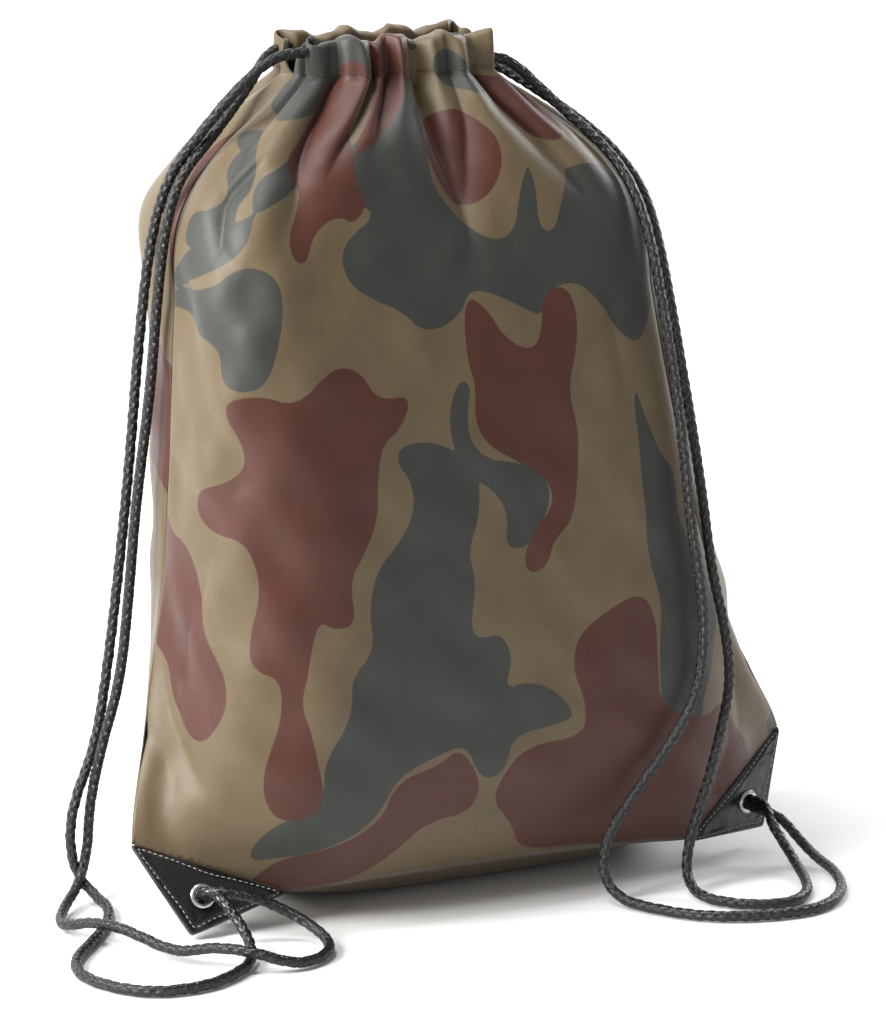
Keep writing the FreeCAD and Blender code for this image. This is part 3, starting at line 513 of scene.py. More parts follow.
def pull_corners(points, wide, fold_gap, is_back):
    """Pulls the cloth at each bottom corner out to its patch. The pull at the hinge line is the way from
    the unpulled cloth to the hinge; it fades as the square of one minus the way past the hinge. Also
    tells which points end at the hinge line."""
    ends = np.zeros(points.shape[:2], bool)
    result = points.copy()
    for side in ("left", "right"):
        origin, x, y, z = patch_axes(side)
        facing = CORNERS[side][3] * (-1.0 if is_back else 1.0)
        from_left = (side == "left") != is_back
        seam_gap = wide if from_left else PANEL_WIDTH - wide
        reach = fold_gap + seam_gap
        share = np.where(reach > 1e-6, fold_gap / np.maximum(reach, 1e-6), 0.5)
        qs = np.linspace(0, 1, HINGE_STEPS)
        resting = along_hinge(points, fold_gap, from_left)
        hinge = origin + x * (qs * HINGE_LENGTH)[:, None] - y * 0.35
        edge = np.minimum(qs, 1 - qs) * HINGE_LENGTH
        hinge = hinge + z * (facing * (0.15 + 0.5 * smooth_step(edge, 0, 6)))[:, None]
        pull = hinge - resting
        way = np.stack([np.interp(share, qs, pull[:, k]) for k in range(3)], axis=-1)
        target = np.stack([np.interp(share, qs, hinge[:, k]) for k in range(3)], axis=-1)
        inside = reach < PATCH_SIDE
        fade = np.clip(1 - (reach - PATCH_SIDE) / 105.0, 0, 1) ** 2
        moved = points + way * fade[..., None]
        ripple = np.sin(share * 21.0 + 0.6) * (reach > PATCH_SIDE) * (reach - PATCH_SIDE) / 16
        ripple = ripple * np.exp(-(reach - PATCH_SIDE) / 22) * 1.5
        moved = moved + z * (facing * ripple)[..., None]
        near = (fade > 0)[..., None]
        result = np.where(near, moved, result)
        result = np.where(inside[..., None], target, result)
        ends |= inside
    result[..., 2] = np.maximum(result[..., 2], 0.0)
    return result, ends


def smooth_mesh(name, points, faces):
    """A smooth-shaded mesh from points in metres."""
    mesh = bpy.data.meshes.new(name)
    mesh.from_pydata(points.reshape(-1, 3).tolist(), [], faces)
    mesh.shade_smooth()
    return mesh


def mesh_from_grid(name, points, keep=None):
    """A mesh of quads between neighbouring grid points, in metres. keep: which quads stay."""
    rows, columns = points.shape[:2]
    index = np.arange(rows * columns).reshape(rows, columns)
    quads = np.stack([index[:-1, :-1], index[:-1, 1:], index[1:, 1:], index[1:, :-1]], axis=2)
    quads = quads.reshape(-1, 4)
    if keep is not None:
        quads = quads[keep.ravel()]
    used, quads = np.unique(quads, return_inverse=True)
    return smooth_mesh(name, points.reshape(-1, 3)[used] * MM, quads.reshape(-1, 4).tolist()), used


def new_piece(name, mesh, material):
    """A shown piece with one material."""
    piece = bpy.data.objects.new(name, mesh)
    bpy.context.scene.collection.objects.link(piece)
    piece.data.materials.append(material)
    return piece


def put_attribute(mesh, name, values):
    """One number for each point of the mesh."""
    layer = mesh.attributes.new(name, "FLOAT", "POINT")
    layer.data.foreach_set("value", np.asarray(values, np.float32))


def put_uv(mesh, across, up):
    """A UV map in metres of flat cloth."""
    layer = mesh.uv_layers.new(name="UVMap")
    corner = np.zeros(len(mesh.loops), np.int64)
    mesh.loops.foreach_get("vertex_index", corner)
    pairs = np.stack([across[corner], up[corner]], axis=1) * MM
    layer.data.foreach_set("uv", pairs.astype(np.float32).ravel())


def print_place(across, up):
    """Where a place on the front panel lies on the printed length: near the foot the side seams were
    sewn further forward, so that the print is narrower there."""
    ridge = np.exp(-((up - 290) / 75) ** 2) * (0.034 * across - 11.5 * smooth_step(across, 40, 95))
    left = np.interp(up, [0, 15, 45, 80, 120], [34, 40, 32, 18, 0])
    right = np.interp(up, [0, 15, 40, 70, 90], [10, 22, 14, 3, 0])
    return ridge + left + across * (PANEL_WIDTH - left - right) / PANEL_WIDTH


def print_distance(across, up, outlines):
    """Distance in mm to the nearest printed shape, below zero inside. Each outline's corners are cut
    twice, so that it runs smooth."""
    best = np.full(across.shape, 1e3)
    for outline in outlines:
        ring = np.array(outline, float)
        for _ in range(2):
            following = np.roll(ring, -1, axis=0)
            ring = np.stack([0.75 * ring + 0.25 * following, 0.25 * ring + 0.75 * following], axis=1)
            ring = ring.reshape(-1, 2)
        near = ((across > ring[:, 0].min() - 12) & (across < ring[:, 0].max() + 12)
                & (up > ring[:, 1].min() - 12) & (up < ring[:, 1].max() + 12))
        x, y = across[near][:, None], up[near][:, None]
        x0, y0 = ring[:, 0][None, :], ring[:, 1][None, :]
        x1, y1 = np.roll(x0, -1, axis=1), np.roll(y0, -1, axis=1)
        dx, dy = x1 - x0, y1 - y0
        t = np.clip(((x - x0) * dx + (y - y0) * dy) / (dx * dx + dy * dy + 1e-12), 0, 1)
        gap = np.hypot(x - x0 - t * dx, y - y0 - t * dy).min(axis=1)
        crosses = ((y0 > y) != (y1 > y)) & (x < dx * (y - y0) / np.where(dy == 0, 1e-9, dy) + x0)
        gap = np.where(crosses.sum(axis=1) % 2 == 1, -gap, gap)
        best[near] = np.minimum(best[near], gap)
    return np.clip(best, -20, 20)


def put_prints(mesh, across, up):
    """The distances to the two printed colours, kept on the mesh for the cloth's material."""
    put_attribute(mesh, "green_print", print_distance(across, up, GREEN_PRINT))
    put_attribute(mesh, "maroon_print", print_distance(across, up, MAROON_PRINT))


# ---------------------------------------------------------------- cords

def cord_points(side):
    """A cord's whole route in metres: eyelet, front strand, front channel, turn round the far end of the
    mouth, back channel, back strand, eyelet."""
    sign = -1 if side == "left" else 1
    level = MOUTH_Z - sign * 3.1
    turn_start = CHANNEL_HALF - 2.9 - MOUTH_REACH
    shoulder = -turn_start - 0.577 * MOUTH_REACH
    crown = -turn_start - 1.155 * MOUTH_REACH
    steps = [(45, -1), (-4, -1.02), (shoulder, -1), (crown, 0), (shoulder, 1), (4, 1.02), (45, 1)]
    mouth = [(MOUTH_X + sign * a, MOUTH_Y + b * MOUTH_REACH, level) for a, b in steps]
    facing = CORNERS[side][3]
    ends = []
    for offset in (-2.65, 2.65):
        near, far = (from_patch(side, [EYELET_ALONG + offset * share, EYELET_OUT, facing * h])
                     for share, h in ((0.62, 0.4), (1.0, 12.9)))
        ends.append([tuple(near), tuple(far)])
    front, back = STRANDS[side + "_front"], STRANDS[side + "_back"]
    route = ends[0] + front[::-1] + mouth + back + ends[1][::-1]
    return [tuple(np.array(p) * MM) for p in route]


def spline_line(name, points):
    """The smooth line of a NURBS spline with these control points, read back as a chain of points."""
    curve = bpy.data.curves.new(name, "CURVE")
    curve.dimensions = "3D"
    curve.resolution_u = 24
    spline = curve.splines.new("NURBS")
    spline.points.add(len(points) - 1)
    for point, place in zip(spline.points, points):
        point.co = (*place, 1.0)
    spline.order_u = 3
    spline.use_endpoint_u = True
    guide = bpy.data.objects.new(name, curve)
    bpy.context.scene.collection.objects.link(guide)
    mesh = bpy.data.meshes.new_from_object(guide)
    line = np.array([v.co for v in mesh.vertices])
    bpy.data.objects.remove(guide)
    bpy.data.curves.remove(curve)
    bpy.data.meshes.remove(mesh)
    return line


def evenly(line, step):
    """The same chain with points an even step apart."""
    gaps = np.linalg.norm(np.diff(line, axis=0), axis=1)
    line = np.concatenate([line[:1], line[1:][gaps > 1e-9]])
    length = np.concatenate([[0], np.cumsum(np.linalg.norm(np.diff(line, axis=0), axis=1))])
    place = np.linspace(0, length[-1], max(8, int(round(length[-1] / step))))
    return np.stack([np.interp(place, length, line[:, k]) for k in range(3)], axis=1), place


def line_frames(line):
    """Two directions across a chain at each point, carried along without twist."""
    ahead = np.gradient(line, axis=0)
    ahead /= np.linalg.norm(ahead, axis=1, keepdims=True)
    side = np.zeros_like(line)
    start = np.cross(ahead[0], (0.3, 0.2, 0.9))
    side[0] = start / np.linalg.norm(start)
    for i in range(1, len(line)):
        turned = side[i - 1] - ahead[i] * np.dot(side[i - 1], ahead[i])
        side[i] = turned / np.linalg.norm(turned)
    return side, np.cross(ahead, side)


def braided_tube(name, line, place, diameter, pitch, narrow_end=None):
    """A tube round a chain of points. Its radius swells where a strand lies on top: strands run both
    ways round as cos of pi times (4 turns plus or minus the length over the pitch), and take turns.
    The tube narrows over its last 6 mm towards narrow_end, where an eyelet squeezes it; on such a piece
    only the strands that run right show fibres. "lay" is the place across a strand, for the fibres."""
    around = 24
    turn = np.linspace(0, 2 * np.pi, around, endpoint=False)[None, :]
    along = place[:, None]
    right = 4 * turn / (2 * np.pi) + along / pitch
    left = 4 * turn / (2 * np.pi) - along / pitch
    lies_right = ((np.floor(right) + np.floor(left)) % 2) == 0
    swell = np.where(lies_right, np.abs(np.sin(np.pi * right)), np.abs(np.sin(np.pi * left)))
    sway = 0.045 * np.sin(2 * np.pi * along / (2.3 * pitch)) * np.cos(turn)
    radius = diameter / 2 * (0.76 + 0.27 * swell ** 0.8 + sway)
    lay = np.where(lies_right, right, left)
    if narrow_end is not None:
        to_end = np.abs(place - place[narrow_end])[:, None]
        radius = radius * (0.6 + 0.4 * smooth_step(to_end, 0.0, 0.006))
        lay = np.where(lies_right, right, to_end)
    side, up = line_frames(line)
    points = (line[:, None, :] + radius[..., None] * (
        np.cos(turn)[..., None] * side[:, None, :] + np.sin(turn)[..., None] * up[:, None, :]))
    rows = len(line)
    index = np.arange(rows * around).reshape(rows, around)
    ring = np.concatenate([index, index[:, :1]], axis=1)
    quads = np.stack([ring[:-1, :-1], ring[:-1, 1:], ring[1:, 1:], ring[1:, :-1]], axis=2).reshape(-1, 4)
    faces = quads.tolist() + [index[0, ::-1].tolist(), index[-1].tolist()]
    mesh = smooth_mesh(name, points, faces)
    # The strand height kept here becomes the cord's painted shade between the strands.
    put_attribute(mesh, "braid", np.clip(swell, 0, 1).ravel())
    put_attribute(mesh, "lay", (lay % 1.0).ravel())
    return mesh


# ---------------------------------------------------------------- materials

def node_of(tree, kind, **values):
    """A node with some of its properties and inputs set."""
    node = tree.nodes.new(kind)
    for name, value in values.items():
        if hasattr(node, name):
            setattr(node, name, value)
        else:
            node.inputs[name.replace("_", " ")].default_value = value
    return node


def shader_group(name, inputs, outputs):
    """An empty shader node group with named sockets, and its two end nodes."""
    tree = bpy.data.node_groups.new(name, "ShaderNodeTree")
    for label, kind, value in inputs:
        socket = tree.interface.new_socket(label, in_out="INPUT", socket_type=kind)
        if value is not None:
            socket.default_value = value
    for label, kind in outputs:
        tree.interface.new_socket(label, in_out="OUTPUT", socket_type=kind)
    return tree, tree.nodes.new("NodeGroupInput"), tree.nodes.new("NodeGroupOutput")


def colour_ramp(tree, source, low, high, places=(0.0, 1.0)):
    """A two-colour ramp read from a socket; gives its colour socket."""
    ramp = node_of(tree, "ShaderNodeValToRGB")
    for element, place, colour in zip(ramp.color_ramp.elements, places, (low, high)):
        element.position = place
        element.color = (*colour, 1)
    tree.links.new(source, ramp.inputs["Fac"])
    return ramp.outputs["Color"]


def map_range(tree, source, *limits):
    """A value moved between ranges; gives its socket. limits: to min, to max, from min, from max."""
    spread = node_of(tree, "ShaderNodeMapRange")
    for label, value in zip(("To Min", "To Max", "From Min", "From Max"), limits):
        spread.inputs[label].default_value = value
    tree.links.new(source, spread.inputs["Value"])
    return spread.outputs["Result"]


def weave_group():
    """Plain weave: two wave textures at right angles."""
    tree, start, end = shader_group(
        "PlainWeave",
        [("Vector", "NodeSocketVector", None), ("Threads", "NodeSocketFloat", 500.0)],
        [("Height", "NodeSocketFloat"), ("Shade", "NodeSocketFloat")])
    link = tree.links.new
    heights = []
    for axis in ("X", "Y"):
        wave = node_of(tree, "ShaderNodeTexWave", bands_direction=axis, Distortion=0.4)
        wave.inputs["Detail"].default_value = 1.0
        link(start.outputs["Vector"], wave.inputs["Vector"])
        link(start.outputs["Threads"], wave.inputs["Scale"])
        heights.append(wave)
    both = node_of(tree, "ShaderNodeMath", operation="MAXIMUM")
    link(heights[0].outputs["Fac"], both.inputs[0])
    link(heights[1].outputs["Fac"], both.inputs[1])
    link(both.outputs[0], end.inputs["Height"])
    noise = node_of(tree, "ShaderNodeTexNoise", Scale=55.0, Detail=4.0, Roughness=0.6)
    link(start.outputs["Vector"], noise.inputs["Vector"])
    link(map_range(tree, noise.outputs["Fac"], 0.9, 1.08, 0.3, 0.7), end.inputs["Shade"])
    return tree


def crumple_group():
    """Small soft dents: a broad noise and a finer one, added."""
    tree, start, end = shader_group(
        "Crumple",
        [("Vector", "NodeSocketVector", None), ("Scale", "NodeSocketFloat", 30.0)],
        [("Height", "NodeSocketFloat")])
    link = tree.links.new
    broad = node_of(tree, "ShaderNodeTexNoise", Detail=3.0, Roughness=0.45)
    fine = node_of(tree, "ShaderNodeTexNoise", Detail=2.0, Roughness=0.5)
    double = node_of(tree, "ShaderNodeMath", operation="MULTIPLY")
    double.inputs[1].default_value = 3.1
    link(start.outputs["Scale"], double.inputs[0])
    for noise, scale in ((broad, start.outputs["Scale"]), (fine, double.outputs[0])):
        link(start.outputs["Vector"], noise.inputs["Vector"])
        link(scale, noise.inputs["Scale"])
    less = node_of(tree, "ShaderNodeMath", operation="MULTIPLY_ADD")
    less.inputs[1].default_value = 0.3
    link(fine.outputs["Fac"], less.inputs[0])
    link(broad.outputs["Fac"], less.inputs[2])
    link(less.outputs[0], end.inputs["Height"])
    return tree


def group_node(tree, group):
    """A node that shows a shared group."""
    node = tree.nodes.new("ShaderNodeGroup")
    node.node_tree = group
    return node


def new_material(name, roughness, **shader_values):
    """A material with one Principled BSDF, whose constant values are set on its own sockets."""
    material = bpy.data.materials.new(name)
    material.use_nodes = True
    tree = material.node_tree
    shader = tree.nodes["Principled BSDF"]
    shader.inputs["Roughness"].default_value = roughness
    for label, value in shader_values.items():
        shader.inputs[label.replace("_", " ")].default_value = value
    return material, tree, shader


def bump_chain(tree, shader, heights):
    """Bumps one after another into the shader's normal. heights: (socket, distance, strength)."""
    last = None
    for socket, distance, strength in heights:
        bump = node_of(tree, "ShaderNodeBump", Distance=distance, Strength=strength)
        tree.links.new(socket, bump.inputs["Height"])
        if last is not None:
            tree.links.new(last.outputs["Normal"], bump.inputs["Normal"])
        last = bump
    tree.links.new(last.outputs["Normal"], shader.inputs["Normal"])


def camouflage_cloth(finish, groups, shade_share=1.0, name="CamouflageCloth"):
    """Printed cloth: the two printed distances pick the colour, with an edge a quarter of a mm wide. Its
    third argument darkens every colour as painted shade.
    """
    material, tree, shader = new_material(name, 0.44, Sheen_Weight=0.12, Sheen_Roughness=0.4, IOR=1.4)
    link = tree.links.new
    uv = node_of(tree, "ShaderNodeUVMap", uv_map="UVMap")
    colour = None
    for attribute, shade in (("green_print", finish.green), ("maroon_print", finish.maroon)):
        field = node_of(tree, "ShaderNodeAttribute", attribute_name=attribute)
        mix = node_of(tree, "ShaderNodeMix", data_type="RGBA")
        link(map_range(tree, field.outputs["Fac"], 0.0, 1.0, 0.18, -0.18), mix.inputs[0])
        # The factor in these colours is painted shade: it darkens the print, to 0.6 on the cloth inside the
        # bag.
        mix.inputs[7].default_value = (*[c * shade_share for c in shade], 1.0)
        if colour is None:
            mix.inputs[6].default_value = (*[c * shade_share for c in finish.sand], 1.0)
        else:
            link(colour, mix.inputs[6])
        colour = mix.outputs[2]
    weave = group_node(tree, groups["weave"])
    weave.inputs["Threads"].default_value = 420.0
    link(uv.outputs["UV"], weave.inputs["Vector"])
    shadow = node_of(tree, "ShaderNodeMix", data_type="RGBA", blend_type="MULTIPLY")
    shadow.inputs[0].default_value = 1.0
    link(colour, shadow.inputs[6])
    link(weave.outputs["Shade"], shadow.inputs[7])
    link(shadow.outputs[2], shader.inputs["Base Color"])
    place = node_of(tree, "ShaderNodeTexCoord")
    crumple = group_node(tree, groups["crumple"])
    crumple.inputs["Scale"].default_value = 26.0
    link(place.outputs["Object"], crumple.inputs["Vector"])
    bump_chain(tree, shader, [(crumple.outputs["Height"], 0.0022, 0.4),
                              (weave.outputs["Height"], 0.00006, 0.6)])
    return material


def braid_material(finish):
    """Black braid: painted shade darkens it between the strands, with fine fibres along each strand."""
    material, tree, shader = new_material("BraidedCord", 0.27, IOR=1.58)
    link = tree.links.new
    braid = node_of(tree, "ShaderNodeAttribute", attribute_name="braid")
    lay = node_of(tree, "ShaderNodeAttribute", attribute_name="lay")
    # Painted shade: near black between the strands, the cord's own colour on their tops.
    colour = colour_ramp(tree, braid.outputs["Fac"], (0.002, 0.002, 0.002), finish.cord, (0.1, 0.85))
    link(colour, shader.inputs["Base Color"])
    fibre = node_of(tree, "ShaderNodeMath", operation="MULTIPLY")
    fibre.inputs[1].default_value = 44.0
    link(lay.outputs["Fac"], fibre.inputs[0])
    wave = node_of(tree, "ShaderNodeMath", operation="SINE")
    link(fibre.outputs[0], wave.inputs[0])
    bump_chain(tree, shader, [(wave.outputs[0], 0.00006, 0.7)])
    return material


def leather_material(finish, groups):
    """Black leatherette: fine grain from cells, soft dents, and a thin gloss."""
    material, tree, shader = new_material("Leatherette", 0.3, IOR=1.5, Coat_Weight=0.35, Coat_Roughness=0.2)
    link = tree.links.new
    place = node_of(tree, "ShaderNodeTexCoord")
    cells = node_of(tree, "ShaderNodeTexVoronoi", feature="DISTANCE_TO_EDGE", Scale=1500.0)
    link(place.outputs["Object"], cells.inputs["Vector"])
    noise = node_of(tree, "ShaderNodeTexNoise", Scale=90.0, Detail=4.0)
    link(place.outputs["Object"], noise.inputs["Vector"])
    dark, light = ([min(1.0, c * share) for c in finish.leather] for share in (0.7, 1.5))
    link(colour_ramp(tree, noise.outputs["Fac"], dark, light, (0.3, 0.75)), shader.inputs["Base Color"])
    link(map_range(tree, noise.outputs["Fac"], 0.22, 0.42), shader.inputs["Roughness"])
    crumple = group_node(tree, groups["crumple"])
    crumple.inputs["Scale"].default_value = 60.0
    link(place.outputs["Object"], crumple.inputs["Vector"])
    bump_chain(tree, shader, [(crumple.outputs["Height"], 0.003, 0.8),
                              (cells.outputs["Distance"], 0.00012, 0.5)])
    return material


def metal_material():
    """Nickel plate with faint wear."""
    material, tree, shader = new_material("NickelPlate", 0.22, Metallic=1.0)
    link = tree.links.new
    place = node_of(tree, "ShaderNodeTexCoord")
    noise = node_of(tree, "ShaderNodeTexNoise", Scale=420.0, Detail=3.0)
    link(place.outputs["Object"], noise.inputs["Vector"])
    colour = colour_ramp(tree, noise.outputs["Fac"], (0.42, 0.41, 0.39), (0.72, 0.71, 0.68))
    link(colour, shader.inputs["Base Color"])
    link(map_range(tree, noise.outputs["Fac"], 0.16, 0.34), shader.inputs["Roughness"])
    return material


def thread_material(name, colour):
    """Twisted thread: slanted fine stripes lighten and darken it, the dark ones painted shade in the grooves
    of the twist.
    """
    material, tree, shader = new_material(name, 0.55, Sheen_Weight=0.2)
    link = tree.links.new
    place = node_of(tree, "ShaderNodeTexCoord")
    wave = node_of(tree, "ShaderNodeTexWave", bands_direction="DIAGONAL", Scale=900.0, Distortion=1.0)
    link(place.outputs["Object"], wave.inputs["Vector"])
    # Painted shade: the stripes darken the thread to 0.55 of its colour in the twist's grooves.
    dark = [c * 0.55 for c in colour]
    link(colour_ramp(tree, wave.outputs["Fac"], dark, colour), shader.inputs["Base Color"])
    bump_chain(tree, shader, [(wave.outputs["Fac"], 0.0001, 0.6)])
    return material


SHARED = {}


def material(name):
    """A material made on first use, and the groups that the materials share."""
    if not SHARED:
        SHARED["groups"] = {"weave": weave_group(), "crumple": crumple_group()}
    if name not in SHARED:
        finish, groups = bpy.context.scene.bag_finish, SHARED["groups"]
        makers = {
            "cloth": lambda: camouflage_cloth(finish, groups),
            # The cloth inside the bag: its print darkened to 0.6 as painted shade.
            "cloth_inside": lambda: camouflage_cloth(finish, groups, 0.6, "ClothWrongSideShaded"),
            "cord": lambda: braid_material(finish),
            "leather": lambda: leather_material(finish, groups),
            "metal": metal_material,
            "dark_thread": lambda: thread_material("DarkThread", (0.07, 0.055, 0.04)),
            "pale_thread": lambda: thread_material("PaleThread", (0.5, 0.5, 0.48)),
        }
        SHARED[name] = makers[name]()
    return SHARED[name]


# ---------------------------------------------------------------- pieces

def body_points(side):
    """The points of one panel, made once."""
    if side not in SHARED:
        is_back = side == "back"
        points, wide, up, fold_gap = body_grid(is_back, bpy.context.scene.bag_settings.pleat_depth)
        points, ends = pull_corners(points, wide, fold_gap, is_back)
        SHARED[side] = (points, wide, up, ends)
    return SHARED[side]


def lip_blend(piece):
    """Bakes the piece's place into its mesh."""
    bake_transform(piece)


def solidify(piece, thickness, offset=-1.0):
    """Gives a sheet its thickness; offset -1 grows it inwards only."""
    solid = piece.modifiers.new("Thickness", "SOLIDIFY")
    solid.thickness = thickness
    solid.offset = offset


def make_panel(side):
    """One printed cloth panel with its lip, from seam to seam."""
    points, wide, up, ends = body_points(side)
    gone = ends[:-1, :-1] & ends[:-1, 1:] & ends[1:, 1:] & ends[1:, :-1]
    mesh, used = mesh_from_grid(side + "_panel_cloth", points, keep=~gone)
    across, height = wide.ravel()[used], up.ravel()[used]
    put_uv(mesh, across, height)
    if side == "back":
        across, height = PANEL_WIDTH - across, NECK_HEIGHT - height
    else:
        across = print_place(across, height)
    put_prints(mesh, across, height)
    piece = new_piece(side + "_panel_cloth", mesh, material("cloth"))
    solidify(piece, bpy.context.scene.bag_settings.cloth_thickness)
    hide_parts(side + "_panel", side + "_channel")
    lip_blend(piece)
    return piece


def capsules(name, starts, ends, radius, sides=6):
    """Short threads: each a prism with two tapered ends. Rings lie at the start, a quarter, three
    quarters and the end, with radii of 0.35, 1, 1 and 0.35."""
    starts, ends = np.asarray(starts, float), np.asarray(ends, float)
    ahead = ends - starts
    unit = ahead / np.linalg.norm(ahead, axis=1, keepdims=True)
    other = np.where(np.abs(unit[:, 2:3]) < 0.9, [[0.0, 0.0, 1.0]], [[1.0, 0.0, 0.0]])
    side = np.cross(unit, other)
    side /= np.linalg.norm(side, axis=1, keepdims=True)
    up = np.cross(unit, side)
    turn = np.linspace(0, 2 * np.pi, sides, endpoint=False)
    circle = np.cos(turn)[None, :, None] * side[:, None] + np.sin(turn)[None, :, None] * up[:, None]
    rings = np.stack([starts[:, None] + ahead[:, None] * t + circle * radius * r
                      for t, r in ((0, 0.35), (0.2, 1.0), (0.8, 1.0), (1, 0.35))], axis=1)
    count = len(starts)
    base = np.arange(count)[:, None, None] * 4 * sides
    ring = base + (np.arange(4) * sides)[None, :, None] + np.arange(sides)[None, None, :]
    following = np.roll(ring, -1, axis=2)
    quads = np.stack([ring[:, :-1], following[:, :-1], following[:, 1:], ring[:, 1:]], axis=-1).reshape(-1, 4)
    caps = ring[:, 0, ::-1].tolist() + ring[:, 3].tolist()
    return smooth_mesh(name, rings * MM, quads.tolist() + caps)


def along_chain(chain, pitch, length):
    """Starts and ends of stitches along a chain of points, with a gap at each end."""
    reach = np.concatenate([[0], np.cumsum(np.linalg.norm(np.diff(chain, axis=0), axis=1))])
    first = np.arange(pitch / 2, reach[-1] - length, pitch)
    starts, ends = (np.stack([np.interp(place, reach, chain[:, k]) for k in range(3)], axis=1)
                    for place in (first, first + length))
    return starts, ends


def grid_outward(points):
    """The outward side of a panel grid at each point: the cross of its two directions."""
    across = np.gradient(points, axis=1)
    up = np.gradient(points, axis=0)
    normal = np.cross(across, up)
    length = np.linalg.norm(normal, axis=2, keepdims=True)
    return normal / np.maximum(length, 1e-9)


def rounded_reach(turn, corners, centre, round_share):
    """Distance from centre to the sides of a triangle in each direction, eased near its corners: the
    smooth least of the distances to the three sides' lines."""
    direction = np.stack([np.cos(turn), np.sin(turn)], axis=1)
    total = np.zeros(len(turn))
    for a, b in zip(corners, np.roll(corners, -1, axis=0)):
        out = np.array([(b - a)[1], -(b - a)[0]])
        out /= np.linalg.norm(out)
        gap = np.dot(a - centre, out)
        toward = np.maximum(direction @ out, 1e-6)
        total += (toward / gap) ** round_share
    return total ** (-1 / round_share)


PATCH_RINGS = 30
SEWN_IN = 2.6


def patch_shape():
    """A leatherette patch as a closed ring of points round the eyelet's hole: out over the front face,
    round the edge, and back in over the back face. The face swells between the eyelet and a groove
    (SEWN_IN mm inside the edge) where it is sewn down. In the patch's own frame, in mm."""
    turn = np.linspace(0, 2 * np.pi, 360, endpoint=False)
    corners = np.array([(-0.6, 0.3), (HINGE_LENGTH + 0.6, 0.3), (TIP_ALONG, TIP_OUT + 0.6)])
    centre = np.array([EYELET_ALONG, EYELET_OUT])
    reach = rounded_reach(turn, corners, centre, 22)
    hole = 4.3
    from_edge = np.array([0.0, 0.8, 1.7, SEWN_IN, 3.5, 4.5, 5.6])
    rest = np.linspace(1, 0, PATCH_RINGS - len(from_edge) + 1)[1:][::-1]
    inner = hole + (reach - 5.6 - hole)[None, :] * rest[:, None]
    radius = np.concatenate([inner, reach[None, :] - from_edge[::-1, None]])
    x = centre[0] + radius * np.cos(turn)
    y = centre[1] + radius * np.sin(turn)
    rim = reach[None, :] - radius
    half = 2.3 - 0.8 * np.exp(-((rim - SEWN_IN) / 0.9) ** 2) - 0.45 * np.exp(-rim / 0.8)
    dents = 0.4 * np.sin(x / 4.3 + 1.4 * np.sin(y / 3.0)) + 0.22 * np.sin(x / 2.1 - y / 3.3)
    half = half + dents * smooth_step(rim, 3.5, 8) * smooth_step(radius, 6.2, 10)
    half = half - 0.25 * (1 - smooth_step(radius, 6.2, 8.5))
    half = np.minimum(half, 0.9 + 1.5 * smooth_step(y, 0.6, 3.4))
    front = np.dstack([x, y, half])
    edge = []
    for k in range(1, 6):
        bend = np.pi * k / 6
        scale = 1 + 0.7 * math.sin(bend) / reach
        edge.append(np.column_stack([centre[0] + reach * scale * np.cos(turn),
                                     np.maximum(centre[1] + reach * scale * np.sin(turn), 0.3),
                                     half[-1] * math.cos(bend)]))
    back = front[::-1] * [1, 1, -1]
    return np.concatenate([front, np.array(edge), back])


def lathe(name, profile, side, height_sign, around=64):
    """A ring round the eyelet's axis from a closed profile of (radius, height) in mm."""
    turn = np.linspace(0, 2 * np.pi, around, endpoint=False)
    profile = np.array(profile, float)
    local = np.dstack([EYELET_ALONG + profile[:, :1] * np.cos(turn),
                       EYELET_OUT + profile[:, :1] * np.sin(turn),
                       profile[:, 1:] * height_sign + np.zeros(around)])
    if height_sign < 0:
        local = local[:, ::-1]
    points = from_patch(side, local)
    return closed_ring_mesh(name, points)


def closed_ring_mesh(name, points):
    """A mesh closed both ways round from a grid of points in mm."""
    rows, columns = points.shape[:2]
    index = np.arange(rows * columns).reshape(rows, columns)
    right, below = np.roll(index, -1, axis=1), np.roll(index, -1, axis=0)
    both = np.roll(below, -1, axis=1)
    quads = np.stack([index, right, both, below], axis=2).reshape(-1, 4)
    mesh = smooth_mesh(name, points * MM, quads.tolist())
    work = bmesh.new()
    work.from_mesh(mesh)
    bmesh.ops.recalc_face_normals(work, faces=work.faces)
    work.to_mesh(mesh)
    work.free()
    return mesh


